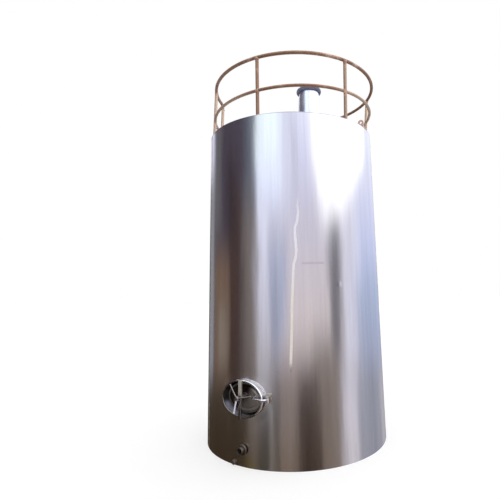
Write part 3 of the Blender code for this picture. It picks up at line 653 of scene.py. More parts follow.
# The cover: painted shade, near black, on its left where the neck shades it, and a lit olive-grey on its
# right.
COVER = lit_and_shaded_metal(
    "cover_steel", (0.44, 0.40, 0.35), (0.040, 0.027, 0.023), 0.42,
    lambda f, along: f.step(along - (f.z - MANWAY_HEIGHT) * 0.7, -0.04, 0.08), 0.2
)
# The crossbar: lit above the manway's middle and in painted shade below it.
CROSSBAR = lit_and_shaded_metal(
    "crossbar_steel", (0.55, 0.51, 0.465), (0.34, 0.32, 0.32), 0.18,
    lambda f, along: f.step(f.z - MANWAY_HEIGHT, -0.02, 0.05), 0.2, 0.5
)
# The handwheel: a painted lavender highlight on its lower arm and knob, and painted shade on its hub and
# upper arms.
HANDLE = lit_and_shaded_metal(
    "handle_steel", (0.88, 0.86, 0.96), (0.28, 0.25, 0.235), 0.22,
    lambda f, along: f.step(f.z - STUD_HEIGHT, -0.005, -0.03), 0.1, 0.4
)
# The door's arm: a painted lavender highlight on its outer part, and painted shade on its foot at the cover.
ARM = lit_and_shaded_metal(
    "arm_steel", (0.92, 0.91, 0.96), (0.42, 0.39, 0.36), 0.20,
    lambda f, along: f.step(along, 0.116, 0.135), 0.1
)
# Dark brown steel: stained on the outlet, its flange, the drain and their welds, and painted shade on the
# cover's stud, boss and lock nut.
STAINED_AND_SHADED = plain_metal(
    "stained_and_shaded_steel", (0.20, 0.17, 0.135), (0.11, 0.09, 0.072), 0.40, 30.0, 0.3, (0.09, 0.075, 0.055)
)
BRACKET = plain_metal("bracket_steel", (0.50, 0.47, 0.40), (0.34, 0.31, 0.26), 0.40, 30.0, 0.3, metallic=0.6)
LUG = plain_metal("lug_steel", (0.84, 0.66, 0.58), (0.66, 0.46, 0.38), 0.38, 30.0, 0.25, metallic=0.5)
# Pale pink rail welds: partly the welds' own colour, partly a painted highlight at the joints.
RAIL_WELD = plain_metal("rail_weld", (0.86, 0.66, 0.57), (0.70, 0.48, 0.39), 0.40, 60.0, 0.2, metallic=0.5)
GROUND_WELD = seam_finish()
RAIL = rail_finish()
HOOD = plain_metal("hood_steel", (0.86, 0.88, 0.96), (0.74, 0.77, 0.90), 0.22, 14.0, 0.10)
CAP = paint_finish("cap_paint", (0.12, 0.13, 0.21), (0.21, 0.23, 0.33), 0.35)
BLUE = paint_finish("drive_paint", (0.035, 0.11, 0.36), (0.09, 0.20, 0.44), 0.35)
RUBBER = paint_finish("gasket_rubber", (0.045, 0.040, 0.034), (0.075, 0.066, 0.055), 0.60)


# The wall, floor, rim and roof


def wave(azimuth, height):
    """How far the thin sheet stands off the true cylinder: three slow sines, 1 mm in all, less 1 mm."""
    angle = np.radians(azimuth)
    return 0.00045 * (
        np.sin(5.0 * angle + 1.1 * height) + 0.7 * np.sin(11.0 * angle - 2.3 * height + 0.6)
        + 0.4 * np.sin(23.0 * angle + 4.1 * height)
    ) - 0.001


def seam_azimuth(height):
    """The azimuth of the weld between the two front sheets at a height."""
    return np.interp(height, SEAM_HEIGHTS, SEAM_AZIMUTHS)


def beside_seam(azimuth, height):
    """Azimuths moved with the wandering seam: in full at the seam, and not at all 12 degrees beside it."""
    share = np.clip(1.0 - np.abs(azimuth - FIRST_SEAM) / 12.0, 0.0, 1.0)
    return azimuth + (seam_azimuth(height) - FIRST_SEAM) * share


def steps_between(low, high, size, marks):
    """Values from low to high about a size apart, and a quarter of it in spans of (middle, half)."""
    values = [np.arange(low, high, size), np.array([high])]
    for middle, half in marks:
        values.append(np.arange(max(low, middle - half), min(high, middle + half), size / 4.0))
    merged = np.unique(np.round(np.concatenate(values), 6))
    return merged[np.concatenate(((True,), np.diff(merged) > size / 12.0))]


def reach_of(offset, halves):
    """How far points lie from an ellipse's middle, in its halves: the length of offset / halves."""
    return np.hypot(*(offset / halves).T)


def cut_hole(offset, halves, faces):
    """Cuts an elliptical hole in a grid whose points are given by their offset from the hole's middle.

    The faces inside it are left out, and the points that then lie on its edge are moved to a reach of 1, by
    dividing their offset by their reach.
    """
    reach = reach_of(offset, halves)
    inside = reach[faces].mean(1) < 1.0
    edge = np.intersect1d(faces[inside], faces[~inside])
    offset = offset.copy()
    offset[edge] /= reach[edge, None]
    return offset, faces[~inside]


def thick_sheet(outer, inner, faces):
    """Two sheets with the same faces, joined along the edges that only one face of a sheet uses, but not
    along edges without length, at a pole."""
    edges = np.concatenate([faces[:, [i, (i + 1) % 4]] for i in range(4)])
    _, first, count = np.unique(np.sort(edges, 1), axis=0, return_index=True, return_counts=True)
    rim = edges[first[count == 1]]
    rim = rim[np.linalg.norm(outer[rim[:, 0]] - outer[rim[:, 1]], axis=1) > 1e-6]
    walls = np.concatenate((rim, rim[:, ::-1] + len(outer)), 1)
    return np.concatenate((outer, inner)), np.concatenate((faces, faces[:, ::-1] + len(outer), walls))


def wall_panel(start, holes):
    """A curved panel with thickness: an outer and an inner grid of (azimuth, height), joined at every edge.

    A hole is (azimuth, height, halves). The inner grid keeps the same distance along near it, so that the
    hole's wall runs straight through, and the sheet's waves fade out towards its edge.
    """
    spans = [(hole_azimuth, math.degrees(halves[0]) * 1.25) for hole_azimuth, _, halves in holes]
    azimuths = steps_between(start, start + SHEET_ANGLE, 2.0, spans)
    azimuths = azimuths + np.where(azimuths < start + SHEET_ANGLE / 2.0, 0.01, -0.01)
    spans = [(hole_height, halves[1] * 1.3) for _, hole_height, halves in holes]
    heights = steps_between(0.0, WALL_TOP, 0.06, spans)
    azimuth, height = (grid.ravel() for grid in np.meshgrid(azimuths, heights, indexing="ij"))
    azimuth = beside_seam(azimuth, height)
    inner_azimuth = azimuth
    radius = SHELL_RADIUS + wave(azimuth, height)
    faces = grid_faces(len(azimuths), len(heights), False, False)
    for hole_azimuth, hole_height, halves in holes:
        across = SHELL_RADIUS * np.sin(np.radians(azimuth - hole_azimuth))
        before = np.stack((across, height - hole_height), -1)
        offset, faces = cut_hole(before, halves, faces)
        azimuth = hole_azimuth + np.degrees(np.arcsin(offset[:, 0] / SHELL_RADIUS))
        height = hole_height + offset[:, 1]
        straight = hole_azimuth + np.degrees(np.arcsin(np.clip(offset[:, 0] / WALL_INNER, -1.0, 1.0)))
        blend = np.clip(2.0 - reach_of(before, halves), 0.0, 1.0)
        inner_azimuth = np.where(blend > 0.0, azimuth * (1.0 - blend) + straight * blend, inner_azimuth)
        calm = np.clip((reach_of(offset, halves) - 1.0) / 0.35, 0.0, 1.0)
        radius = SHELL_RADIUS + (radius - SHELL_RADIUS) * calm
    return thick_sheet(around(azimuth, radius, height), around(inner_azimuth, WALL_INNER, height), faces)


def build_wall():
    """The five wall panels, the weld seams between them and the tank's floor."""
    holes = (
        (MANWAY_AZIMUTH, MANWAY_HEIGHT, NECK_HALVES + GAP),
        (OUTLET_AZIMUTH, OUTLET_HEIGHT, np.full(2, OUTLET_RADIUS + GAP)),
    )
    heights = np.linspace(0.004, WALL_TOP - 0.004, 600)
    for index, name in enumerate(PANEL_NAMES):
        start = FIRST_SEAM + SHEET_ANGLE * (index - 1)
        sheet = wall_panel(start, holes if name == "front_left" else ())
        make_piece("wall_sheet_" + name, sheet, WALL, "shell_panel_" + name, sharp=50.0)
        finish = WELD
        if start == FIRST_SEAM:
            path = around(seam_azimuth(heights), SHELL_RADIUS - 0.0004, heights)
            ground = np.interp(heights, (0.85, 0.93, 2.40, 2.62), (0.04, 1.0, 1.0, 0.04))
            seam = swept(path, squared((0.0125, 0.0011), 16), direction(start), scale=ground)
            finish = GROUND_WELD
        else:
            wander = 0.0022 * np.sin(heights * 4.3 + index) + 0.0012 * np.sin(heights * 11.7 + 2.0 * index)
            path = around(start + np.degrees(wander), SHELL_RADIUS - 0.0016, heights)
            seam = bead(path, 0.0032, reference=direction(start), ripple=0.012)
        make_piece("wall_seam_" + name, seam, finish)
    floor = tube(0.0, WALL_INNER - GAP, 0.0, FLOOR_THICKNESS, 0.002, upright_frame(), 120)
    make_piece("tank_bottom", floor, DULL, "tank_floor")


def roof_height(radius):
    """The height of the roof's top, which falls evenly with the radius from its apex."""
    return ROOF_EDGE + ROOF_RISE * (1.0 - radius / ROOF_RADIUS)


def build_roof():
    """The rolled rim over the wall's top, the roof cone with its hole for the drive, and the roof's welds.

    The first ring of the cone's grid lies at its apex.
    """
    under = TANK_HEIGHT - RIM_THICKNESS
    rim = tube(WALL_INNER + GAP, SHELL_RADIUS, under, TANK_HEIGHT, 0.0025, upright_frame(), 180)
    make_piece("wall_rim", rim, WALL, "rim_ring")
    radii = np.concatenate(((0.0,), np.linspace(0.02, ROOF_RADIUS, 90)))
    flat = (radii[:, None, None] * circle(1.0, 240)).reshape(-1, 2)
    hole_radius = NECK_TUBE_RADII[1] + GAP
    away, faces = cut_hole(flat - DRIVE_PLACE, hole_radius, grid_faces(len(radii), 240, False, True))
    flat = away + DRIVE_PLACE
    upper = at_height(flat, roof_height(np.linalg.norm(flat, axis=1)))
    make_piece("roof_sheet", thick_sheet(upper, upper - ROOF_THICKNESS * UP, faces), ROOF, "roof_cone")
    along = np.linspace(0.004, ROOF_RADIUS, 260)
    lines = [around(azimuth, along, roof_height(along) - 0.0008) for azimuth in (-120.0, 60.0)]
    welds = [bead(line, 0.0030, ripple=0.012) for line in lines]
    welds.append(weld_ring(ROOF_RADIUS - 0.001, ROOF_EDGE, upright_frame(), 0.0035, 720))
    ring = circle(hole_radius, 120) + DRIVE_PLACE
    welds.append(bead(at_height(ring, roof_height(np.linalg.norm(ring, axis=1))), 0.004, closed=True))
    make_piece("roof_welds", joined(*welds), WELD)


# The manway


MANWAY = radial_frame(MANWAY_AZIMUTH, MANWAY_HEIGHT)
STUD = radial_frame(MANWAY_AZIMUTH, STUD_HEIGHT)


def build_neck():
    """The manway's oval neck through the wall, its rolled lip, and the welds at the wall and the lip."""
    neck = plate(circle(NECK_HALVES - NECK_WALL, 160), circle(NECK_HALVES, 160), *NECK_ENDS, MANWAY, 0.0012)
    make_piece("manway_tube", neck, NECK, "manway_neck")
    lip_line = at_height(circle(NECK_HALVES - NECK_WALL / 2.0, 160), LIP_OUT)
    lip = swept(lip_line, circle(LIP_RADIUS, 20), closed=True)
    make_piece("manway_rim", moved(lip, MANWAY), LIP, "manway_lip")
    seam = bead(on_wall(circle(NECK_HALVES + 0.0015, 480), -0.0006), 0.0042, closed=True, ripple=0.009)
    under_lip = bead(at_height(circle(NECK_HALVES, 480), NECK_ENDS[1]), 0.0016, closed=True)
    make_piece("manway_welds", moved(joined(seam, under_lip), MANWAY), WELD)


def build_cover():
    """The oval cover with a pressed groove, its gasket, and the stud with its boss and lock nut.

    With share the part of its halves, the cover's faces are domed by 7 mm times 1 - share^2, and dip by 4 mm
    times exp(-((share - 0.72) / 0.06)^2).
    """
    low, high = COVER_ENDS
    share = np.linspace(0.0, 0.985, 42)
    dip = 0.004 * np.exp(-((share - 0.72) / 0.06) ** 2) - 0.007 * (1.0 - share ** 2)
    edge = ((0.994, high - 0.0006), (1.0, high - 0.002), (1.0, low + 0.002), (0.994, low + 0.0006))
    front = np.stack((share, high - dip), -1)
    back = np.stack((share, low - dip), -1)[::-1]
    cover = turned(np.concatenate((front, edge, back)), MANWAY, 120, halves=COVER_HALVES)
    make_piece("manway_lid", cover, COVER, "manway_cover", "manway_door")
    inner = circle(COVER_HALVES - 0.020, 120)
    gasket = plate(inner, circle(COVER_HALVES - 0.001, 120), *GASKET_ENDS, MANWAY, 0.0028)
    make_piece("lid_gasket", gasket, RUBBER, "cover_gasket", "manway_door")
    low, high = STUD_ENDS
    stud = threaded(STUD_RADIUS, low + 0.002, high, STUD)
    top = BOSS_FRONT
    boss = softened(((0.0, top), (0.020, top), (0.030, 0.979), (0.030, low), (0.0, low)), 0.0015)
    lock_nut = ((0.0, top), (0.0165, top), (0.0175, 0.985), (0.0175, 0.993), (0.0155, 0.995), (0.0, 0.995))
    shape = joined(turned(boss, STUD, 40), stud, turned(lock_nut, STUD, 6))
    # The stud, boss and lock nut are dark: painted shade.
    make_piece("lid_stud", shape, STAINED_AND_SHADED, "cover_stud", "manway_door")


def build_crossbar():
    """The upright bar over the lip: squared-off sections up its length, with a foot at each end.

    At height s the bar reaches from back(s) to its front, where back(s) eases between two depths near the
    feet, and the whole section shrinks on part of an ellipse over the last 3 mm.
    """
    half = CROSSBAR_HALF_LENGTH
    front = CROSSBAR_ENDS[1]
    rounding = 0.003
    foot_end = half - 0.031
    ends = half - np.linspace(0.0, rounding, 6)
    feet = np.linspace(half - 0.004, half - 0.034, 16)
    heights = np.concatenate((ends, feet, np.linspace(half - 0.05, 0.0, 10)))
    heights = np.concatenate((heights, -heights[-2::-1]))[:, None]
    inset = np.clip((np.abs(heights) - (half - rounding)) / rounding, 0.0, 1.0)
    size = np.sqrt(1.0 - 0.55 * inset ** 2)
    share = np.clip((np.abs(heights) - foot_end) / 0.008, 0.0, 1.0)
    share = share * share * (3.0 - 2.0 * share)
    foot_back = LIP_OUT + LIP_RADIUS + GAP
    back = CROSSBAR_ENDS[0] + (foot_back - CROSSBAR_ENDS[0]) * share
    across, deep = squared(1.0, 32, 0.22).T
    out = (front + back) / 2.0 + (front - back) / 2.0 * size * deep
    loops = np.stack((CROSSBAR_HALF_WIDTH * size * across, np.repeat(heights, 32, 1), out), -1)
    bar = loft(placed(capped(loops, loops.mean(1)[[0, -1]]), MANWAY))
    make_piece("manway_crossbar", bar, CROSSBAR, "crossbar", "manway_door")


def build_handwheel():
    """The hub with its three arms, each thicker at its root and ending in a round knob.

    At share s of its length an arm is root + (reach - root) s from the stud and falls back by 20 mm s^1.15.
    """
    low, high = HUB_ENDS
    bore = STUD_RADIUS + 0.0005
    hub = softened(
        ((bore, high), (HUB_RADIUS - 0.005, high), (HUB_RADIUS, high - 0.012), (HUB_RADIUS, low + 0.006),
         (HUB_RADIUS - 0.003, low), (bore, low)), 0.002, ring=True
    )
    shapes = [turned(hub, STUD, 40, ring=True)]
    share = np.linspace(0.0, 1.0, 24)
    reach = HANDLE_ROOT + (HANDLE_REACH - HANDLE_ROOT) * share
    height = (low + 2.0 * high) / 3.0 - HANDLE_LEAN * share ** 1.15
    size = 1.0 + 0.35 * np.exp(-share * 9.0)
    polar = np.linspace(0.0, np.pi, 13)
    knob = KNOB_RADIUS * np.stack((np.sin(polar), -np.cos(polar)), -1)
    for turn in np.radians(HANDLE_ANGLES):
        line = np.stack((reach * np.cos(turn), reach * np.sin(turn), height), -1)
        shapes.append(moved(swept(line, circle(HANDLE_RADIUS, 16), scale=size), STUD))
        shapes.append(turned(knob, shifted(STUD, line[-1]), 20))
    make_piece("manway_handwheel", joined(*shapes), HANDLE, "handwheel", "handwheel")


def build_hinge():
    """The bracket welded on the wall, with two round-nosed ears and the pin, and the bent arm of the cover.

    The pin's ends are rounded on quarter circles.
    """
    rows = radial_frame(HINGE_AZIMUTH, HINGE_HEIGHT)
    base = slab(squared(BRACKET_HALVES, 64, 0.16), 1.0003, 1.0103, rows, 0.002)
    nose = np.radians(np.linspace(0.0, 180.0, 25))
    round_nose = EAR_RADIUS * np.stack((np.cos(nose), np.sin(nose)), -1) + (0.0, PIN_OUT)
    outline = np.concatenate((round_nose, ((-EAR_RADIUS, 1.0085), (EAR_RADIUS, 1.0085))))
    level = level_frame(HINGE_AZIMUTH, rows[3])
    ears = [slab(outline, low, low + 0.008, level, 0.0012) for low in (-0.027, 0.019)]
    make_piece("door_bracket", joined(base, *ears), BRACKET, "hinge_bracket")
    beads = [bead(on_wall(squared(BRACKET_HALVES + 0.001, 240, 0.16), 0.0012), 0.0030, closed=True)]
    for side in (-0.0275, 0.0275):
        fillet = np.linspace((-0.016, side, 1.0108), (0.016, side, 1.0108), 30)
        beads.append(bead(fillet, 0.0024))
    make_piece("bracket_welds", moved(joined(*beads), rows), WELD)
    pin_place = placed((0.0, 0.0, PIN_OUT), rows)
    half = KNUCKLE_HALF_HEIGHT + 0.013
    rounding = 0.0018
    turn = np.radians(np.linspace(0.0, 90.0, 5))
    end = (PIN_RADIUS, half) - rounding * np.stack((1.0 - np.sin(turn), 1.0 - np.cos(turn)), -1)
    pin = np.concatenate((((0.0, half),), end, end[::-1] * (1.0, -1.0), ((0.0, -half),)))
    pin_shape = turned(pin, level_frame(HINGE_AZIMUTH, pin_place), 24)
    make_piece("door_pin", pin_shape, BRIGHT, "hinge_pin")
    high = KNUCKLE_HALF_HEIGHT
    knuckle = tube(PIN_RADIUS + 0.001, KNUCKLE_RADIUS, -high, high, 0.0015, upright_frame(*pin_place), 36)
    line = smooth_line(np.insert(ARM_ROUTE, 1, ARM_RISE, axis=1))
    rod = moved(swept(line, circle(ARM_RADIUS, 20), (0.0, 1.0, 0.0)), MANWAY)
    foot_frame = shifted(MANWAY, (ARM_ROUTE[-1, 0], ARM_RISE, 0.0))
    foot = tube(0.0, 0.022, 0.9653, 0.9773, 0.002, foot_frame, 36)
    arm = joined(knuckle, rod, foot, weld_ring(0.0095, 0.9782, foot_frame, 0.0022, 64))
    make_piece("door_arm", arm, ARM, "hinge_arm", "manway_door")


# The nozzles and lugs


def build_nozzles():
    """The outlet pipe with its collar flange, and the capped drain stub at the wall's foot, with their
    welds."""
    rows = radial_frame(OUTLET_AZIMUTH, OUTLET_HEIGHT)
    pipe = tube(OUTLET_BORE, OUTLET_RADIUS, *OUTLET_ENDS, 0.001, rows, 48, 2)
    make_piece("outlet_tube", pipe, STAINED_AND_SHADED, "outlet_pipe")
    low, high = OUTLET_FLANGE_ENDS
    profile = softened(
        ((OUTLET_RADIUS, high), (0.044, high), (OUTLET_FLANGE_RADIUS, high - 0.004),
         (OUTLET_FLANGE_RADIUS, low), (OUTLET_RADIUS, low)), 0.002, ring=True
    )
    flange = turned(profile, rows, 64, ring=True)
    make_piece("outlet_ring", flange, STAINED_AND_SHADED, "outlet_flange")
    drain = radial_frame(DRAIN_AZIMUTH, DRAIN_HEIGHT)
    low, high = DRAIN_ENDS
    stub = softened(
        ((0.0, high), (0.013, high), (0.020, high - 0.003), (DRAIN_RADIUS, high - 0.006), (DRAIN_RADIUS, low),
         (0.0, low - 0.004)), 0.0015
    )
    make_piece("drain_cap", turned(stub, drain, 40), STAINED_AND_SHADED, "drain_stub")
    seam = bead(on_wall(circle(OUTLET_RADIUS + 0.001, 160), 0.0008), 0.0028, closed=True)
    make_piece("nozzle_welds", joined(moved(seam, rows), weld_ring(0.021, 1.0005, drain, 0.0026)), STAINED_AND_SHADED)


def build_lugs():
    """Two lifting lugs: a plate from its round eye out to a round head on a straight foot.

    From the eye's middle, the outline is a circle upwards, and downwards the nearer of its side and its foot:
    the smaller of half width / |cos t| and eye height / |sin t|.
    """
    corner = math.degrees(math.atan2(LUG_EYE_HEIGHT, LUG_RADIUS))
    spans = (
        (0.0, 180.0, 48), (180.0, 180.0 + corner, 16), (180.0 + corner, 360.0 - corner, 24),
        (360.0 - corner, 360.0, 16)
    )
    turn = np.radians(np.concatenate([np.linspace(*span, endpoint=False) for span in spans]))
    ray = np.stack((np.cos(turn), np.sin(turn)), -1)
    foot = LUG_EYE_HEIGHT - GAP
    below = np.minimum(LUG_RADIUS / (np.abs(ray[:, 0]) + 1e-9), foot / (np.abs(ray[:, 1]) + 1e-9))
    reach = np.where(ray[:, 1] >= -1e-9, LUG_RADIUS, below)[:, None]
    half = LUG_THICKNESS / 2.0
    border = at_height(squared((LUG_RADIUS + 0.0005, half + 0.0005), 240, 0.16), 0.0012 - LUG_EYE_HEIGHT)
    for azimuth, node in zip(LUG_AZIMUTHS, ("lifting_lug_right", "lifting_lug_left")):
        middle = around(azimuth, LUG_MIDDLE, TANK_HEIGHT + LUG_EYE_HEIGHT)
        out, along = direction(azimuth), direction(azimuth + 90.0)
        rows = np.array((out, UP, along, middle))
        lug = plate(ray * LUG_EYE_RADIUS, ray * reach, -half, half, rows, 0.0018)
        make_piece("lug_" + node.split("_")[-1], lug, LUG, node)
        seam = moved(bead(border, 0.003, closed=True), np.array((out, along, UP, middle)))
        make_piece("weld_" + node, seam, WELD)


# The agitator drive


def bolt_circle(radius, height, count, rows, phase=0.0, across=0.019):
    """Bolt heads evenly round a circle of a frame: six-sided prisms with chamfered tops, on thin washers."""
    size = across / math.sqrt(3.0)
    head = ((0.0, 0.002), (size, 0.002), (size, 0.0085), (size * 0.86, 0.010), (0.0, 0.010))
    frames = [shifted(rows, (x, y, height)) for x, y in circle(radius, count, phase)]
    bolts = [joined(tube(0.0, 0.013, 0.0, 0.002, 0.0008, own, 20, 2), turned(head, own, 6)) for own in frames]
    return joined(*bolts)


def build_drive():
    """Neck, flange, stool, gearbox, motor hood and cap, one above the other on the roof."""
    rows = upright_frame(*DRIVE_PLACE)
    neck = tube(*NECK_TUBE_RADII, *NECK_TUBE_ENDS, 0.001, rows, 72, 2)
    make_piece("drive_neck", neck, ROOF, "agitator_neck")
    flange = tube(0.0, DRIVE_FLANGE_RADIUS, *DRIVE_FLANGE_ENDS, 0.0015, rows, 96)
    make_piece("drive_flange", flange, ROOF, "agitator_flange")
    low, high = STOOL_ENDS
    foot = low + STOOL_PLATE
    head = high - STOOL_PLATE
    stool = softened(
        ((0.0, high), (0.115, high), (0.115, head), (0.078, head), (0.070, high - 0.030),
         (0.070, low + 0.034), (0.080, foot), (0.150, foot), (0.150, low), (0.0, low)), 0.003
    )
    stool_shape = joined(turned(stool, rows, 72), bolt_circle(0.125, foot, 8, rows))
    make_piece("drive_stool", stool_shape, DULL, "agitator_stool")
    low, high = GEARBOX_ENDS
    case = softened(
        ((0.0, high), (GEARBOX_RADIUS, high), (GEARBOX_RADIUS, high - 0.012), (0.082, high - 0.016),
         (0.082, low + 0.066), (0.091, low + 0.063), (0.091, low + 0.055), (0.082, low + 0.052),
         (0.084, low + 0.016), (GEARBOX_RADIUS, low + 0.012), (GEARBOX_RADIUS, low), (0.0, low)), 0.0022
    )
    case_shape = joined(turned(case, rows, 72), bolt_circle(0.0865, low + 0.012, 6, rows, 0.5, 0.011))
    make_piece("drive_gearbox", case_shape, BLUE, "gearbox")
    build_hood(rows)


def build_hood(rows):
    """The motor's sheet hood, which widens evenly to a rolled hem at its foot, with a seam and screws, and
    its cap."""
    low, high = HOOD_ENDS
    height = np.concatenate((np.linspace(0.006, 0.08, 24), np.linspace(0.09, high - low - 0.003, 12)))
    radius = np.interp(height, (0.0, high - low), HOOD_RADII)
    side = np.stack((radius, low + height), -1)
    roll = np.radians(np.linspace(60.0, -150.0, 12))
    hem = 0.004 * np.stack((np.cos(roll), np.sin(roll)), -1) + (HOOD_RADII[0] - 0.0035, low + 0.0042)
    top = ((0.0, high), (HOOD_RADII[1] - 0.003, high))
    inside = ((0.140, low + 0.001), (0.0, low + 0.001))
    shapes = [turned(np.concatenate((top, side[::-1], hem, inside)), rows, 120)]
    line = around(HOOD_SEAM, radius + 0.0002, low + height) + (*DRIVE_PLACE, 0.0)
    shapes.append(swept(line, squared((0.009, 0.0012), 16), direction(HOOD_SEAM)))
    for ring_height in (low + 0.05, high - 0.02):
        wall = np.interp(ring_height, HOOD_ENDS, HOOD_RADII)
        screw = ((0.0, wall + 0.003), (0.003, wall + 0.0026), (0.0048, wall), (0.0, wall - 0.001))
        for azimuth in np.arange(105.0, 465.0, 45.0):
            own = radial_frame(azimuth, ring_height, *DRIVE_PLACE)
            shapes.append(turned(softened(screw, 0.0008, 2), own, 14))
    make_piece("drive_hood", joined(*shapes), HOOD, "motor_hood")
    low, high = CAP_ENDS
    edge = 0.016
    inner = CAP_RADIUS - edge
    rise = np.radians(np.linspace(90.0, -90.0, 16))
    bulge = np.stack((inner + edge * np.cos(rise), (low + high) / 2.0 - 0.003 + 0.026 * np.sin(rise)), -1)
    crown = np.linspace(0.0, 0.9, 14)
    top = np.stack((crown * inner, high - 0.009 * crown ** 2), -1)
    under = ((0.155, low + 0.0005), (0.0, low + 0.0005))
    cap = turned(np.concatenate((top, bulge, under)), rows, 120)
    make_piece("drive_cap", cap, CAP, "hood_cap")


# The guard rail


def grown(height, ends):
    """A value that grows evenly with the height above the rim, from the rail's foot to its top."""
    return np.interp(height, (0.0, TOP_RAIL_HEIGHT), ends)


def cage(azimuth, height):
    """Points of the rail's cage: (shift + r sin a, -r cos a, rim + height), with r and the shift growing
    evenly with the height."""
    points = around(azimuth, grown(height, CAGE_RADII), TANK_HEIGHT + height)
    points[..., 0] += grown(height, CAGE_SHIFTS)
    return points


def post_line(index, heights):
    """Points up a post's middle line, straight from the cage at its foot to the cage at its head."""
    foot = cage(POST_FEET[index], 0.0)
    head = cage(POST_HEADS[index], TOP_RAIL_HEIGHT)
    return foot + (head - foot) * grown(heights, (0.0, 1.0))[..., None]


def lower_rail(azimuth):
    """Points of the lower rail, which rises by 35 mm a metre to the right."""
    points = cage(azimuth, MID_RAIL_HEIGHT)
    points[..., 2] += MID_RAIL_RISE * points[..., 0]
    return points


def meeting(index):
    """The azimuth at which a post meets the lower rail."""
    x, y, _ = post_line(index, MID_RAIL_HEIGHT)
    azimuth = math.degrees(math.atan2(x - grown(MID_RAIL_HEIGHT, CAGE_SHIFTS), -y))
    return azimuth if azimuth > POST_FEET[0] - 1.0 else azimuth + 360.0


def build_posts():
    """The seven posts, with welds at their feet and under the top rail."""
    welds = []
    under_rail = -TUBE_RADIUS * np.abs(circle(1.0, 120)[:, 0]) - 0.0012
    saddle = at_height(circle(TUBE_RADIUS + 0.0006, 120), under_rail)
    for index, node in enumerate(POST_NODES):
        at_gap = index in (0, len(POST_NODES) - 1)
        end = TOP_RAIL_HEIGHT - (END_BEND if at_gap else 0.004)
        line = post_line(index, np.linspace(0.0005, end, 3))
        post = swept(line, circle(TUBE_RADIUS, 24), direction(POST_FEET[index]))
        name = node.replace("rail_", "cage_").replace("gap_", "cage_gap_")
        make_piece(name, post, RAIL, node)
        foot = level_frame(POST_FEET[index], line[0])
        welds.append(weld_ring(TUBE_RADIUS + 0.0008, 0.0012, foot, RAIL_BEAD))
        head = level_frame(POST_HEADS[index], post_line(index, TOP_RAIL_HEIGHT))
        if at_gap:
            welds.append(weld_ring(TUBE_RADIUS + 0.0002, -END_BEND, head, 0.0022))
        else:
            welds.append(moved(bead(saddle, RAIL_BEAD, closed=True), head))
    return welds


def build_rails():
    """Posts, the top rail with its bent-down ends, the lower rail's bays, and the welds where they meet."""
    welds = build_posts()
    turn = np.radians(np.linspace(0.0, 90.0, 16))
    bend = math.degrees(END_BEND / CAGE_RADII[1]) * (1.0 - np.cos(turn))
    first = POST_HEADS[0] + bend
    last = POST_HEADS[-1] - bend[::-1]
    drop = TOP_RAIL_HEIGHT - END_BEND * (1.0 - np.sin(turn))
    middle = np.linspace(first[-1], last[0], 220)[1:-1]
    azimuths = np.concatenate((first, middle, last))
    heights = np.concatenate((drop, np.full(len(middle), TOP_RAIL_HEIGHT), drop[::-1]))
    rail = swept(cage(azimuths, heights), circle(TUBE_RADIUS, 24), direction(azimuths))
    make_piece("cage_top_rail", rail, RAIL, "top_rail")
    meetings = [meeting(index) for index in range(len(POST_NODES))]
    across, upward = circle(MID_TUBE_RADIUS + 0.0006, 96).T
    along = np.sqrt(np.maximum(TUBE_RADIUS ** 2 - across ** 2, 0.0)) + 0.0010
    for number, (start, end) in enumerate(zip(meetings, meetings[1:]), 1):
        azimuths = np.linspace(start + 0.3, end - 0.3, 48)
        bay = swept(lower_rail(azimuths), circle(MID_TUBE_RADIUS, 20), direction(azimuths))
        make_piece(f"cage_lower_rail_{number}", bay, RAIL, f"mid_rail_{number}")
        for azimuth, side in ((start, along), (end, -along)):
            line = np.stack((side, across, upward), -1)
            ring = bead(line, RAIL_BEAD, closed=True, reference=(1.0, 0.0, 0.0))
            welds.append(moved(ring, level_frame(azimuth, lower_rail(azimuth))))
    make_piece("cage_welds", joined(*welds), RAIL_WELD)


build_wall()
build_roof()
build_neck()
build_cover()
build_crossbar()
build_handwheel()
build_hinge()
build_nozzles()
build_lugs()
build_drive()
build_rails()


# The stage: pale floor, surroundings, light and camera


def build_stage():
    """A wide pale floor, which the steel doesn't mirror."""
    size = 40.0
    corners = [(-size, -size, 0.0), (size, -size, 0.0), (size, size, 0.0), (-size, size, 0.0)]
    mesh = bpy.data.meshes.new("studio_floor")
    mesh.from_pydata(corners, [], [(0, 1, 2, 3)])
    f = new_finish("floor_white")
    mesh.materials.append(f.shade(
        Base_Color=(0.60, 0.60, 0.60, 1.0), Roughness=1.0, Emission_Color=(1.0, 1.0, 1.0, 1.0),
        Emission_Strength=0.46
    ))
    floor = bpy.data.objects.new("studio_floor", mesh)
    bpy.context.scene.collection.objects.link(floor)
    floor.visible_glossy = False


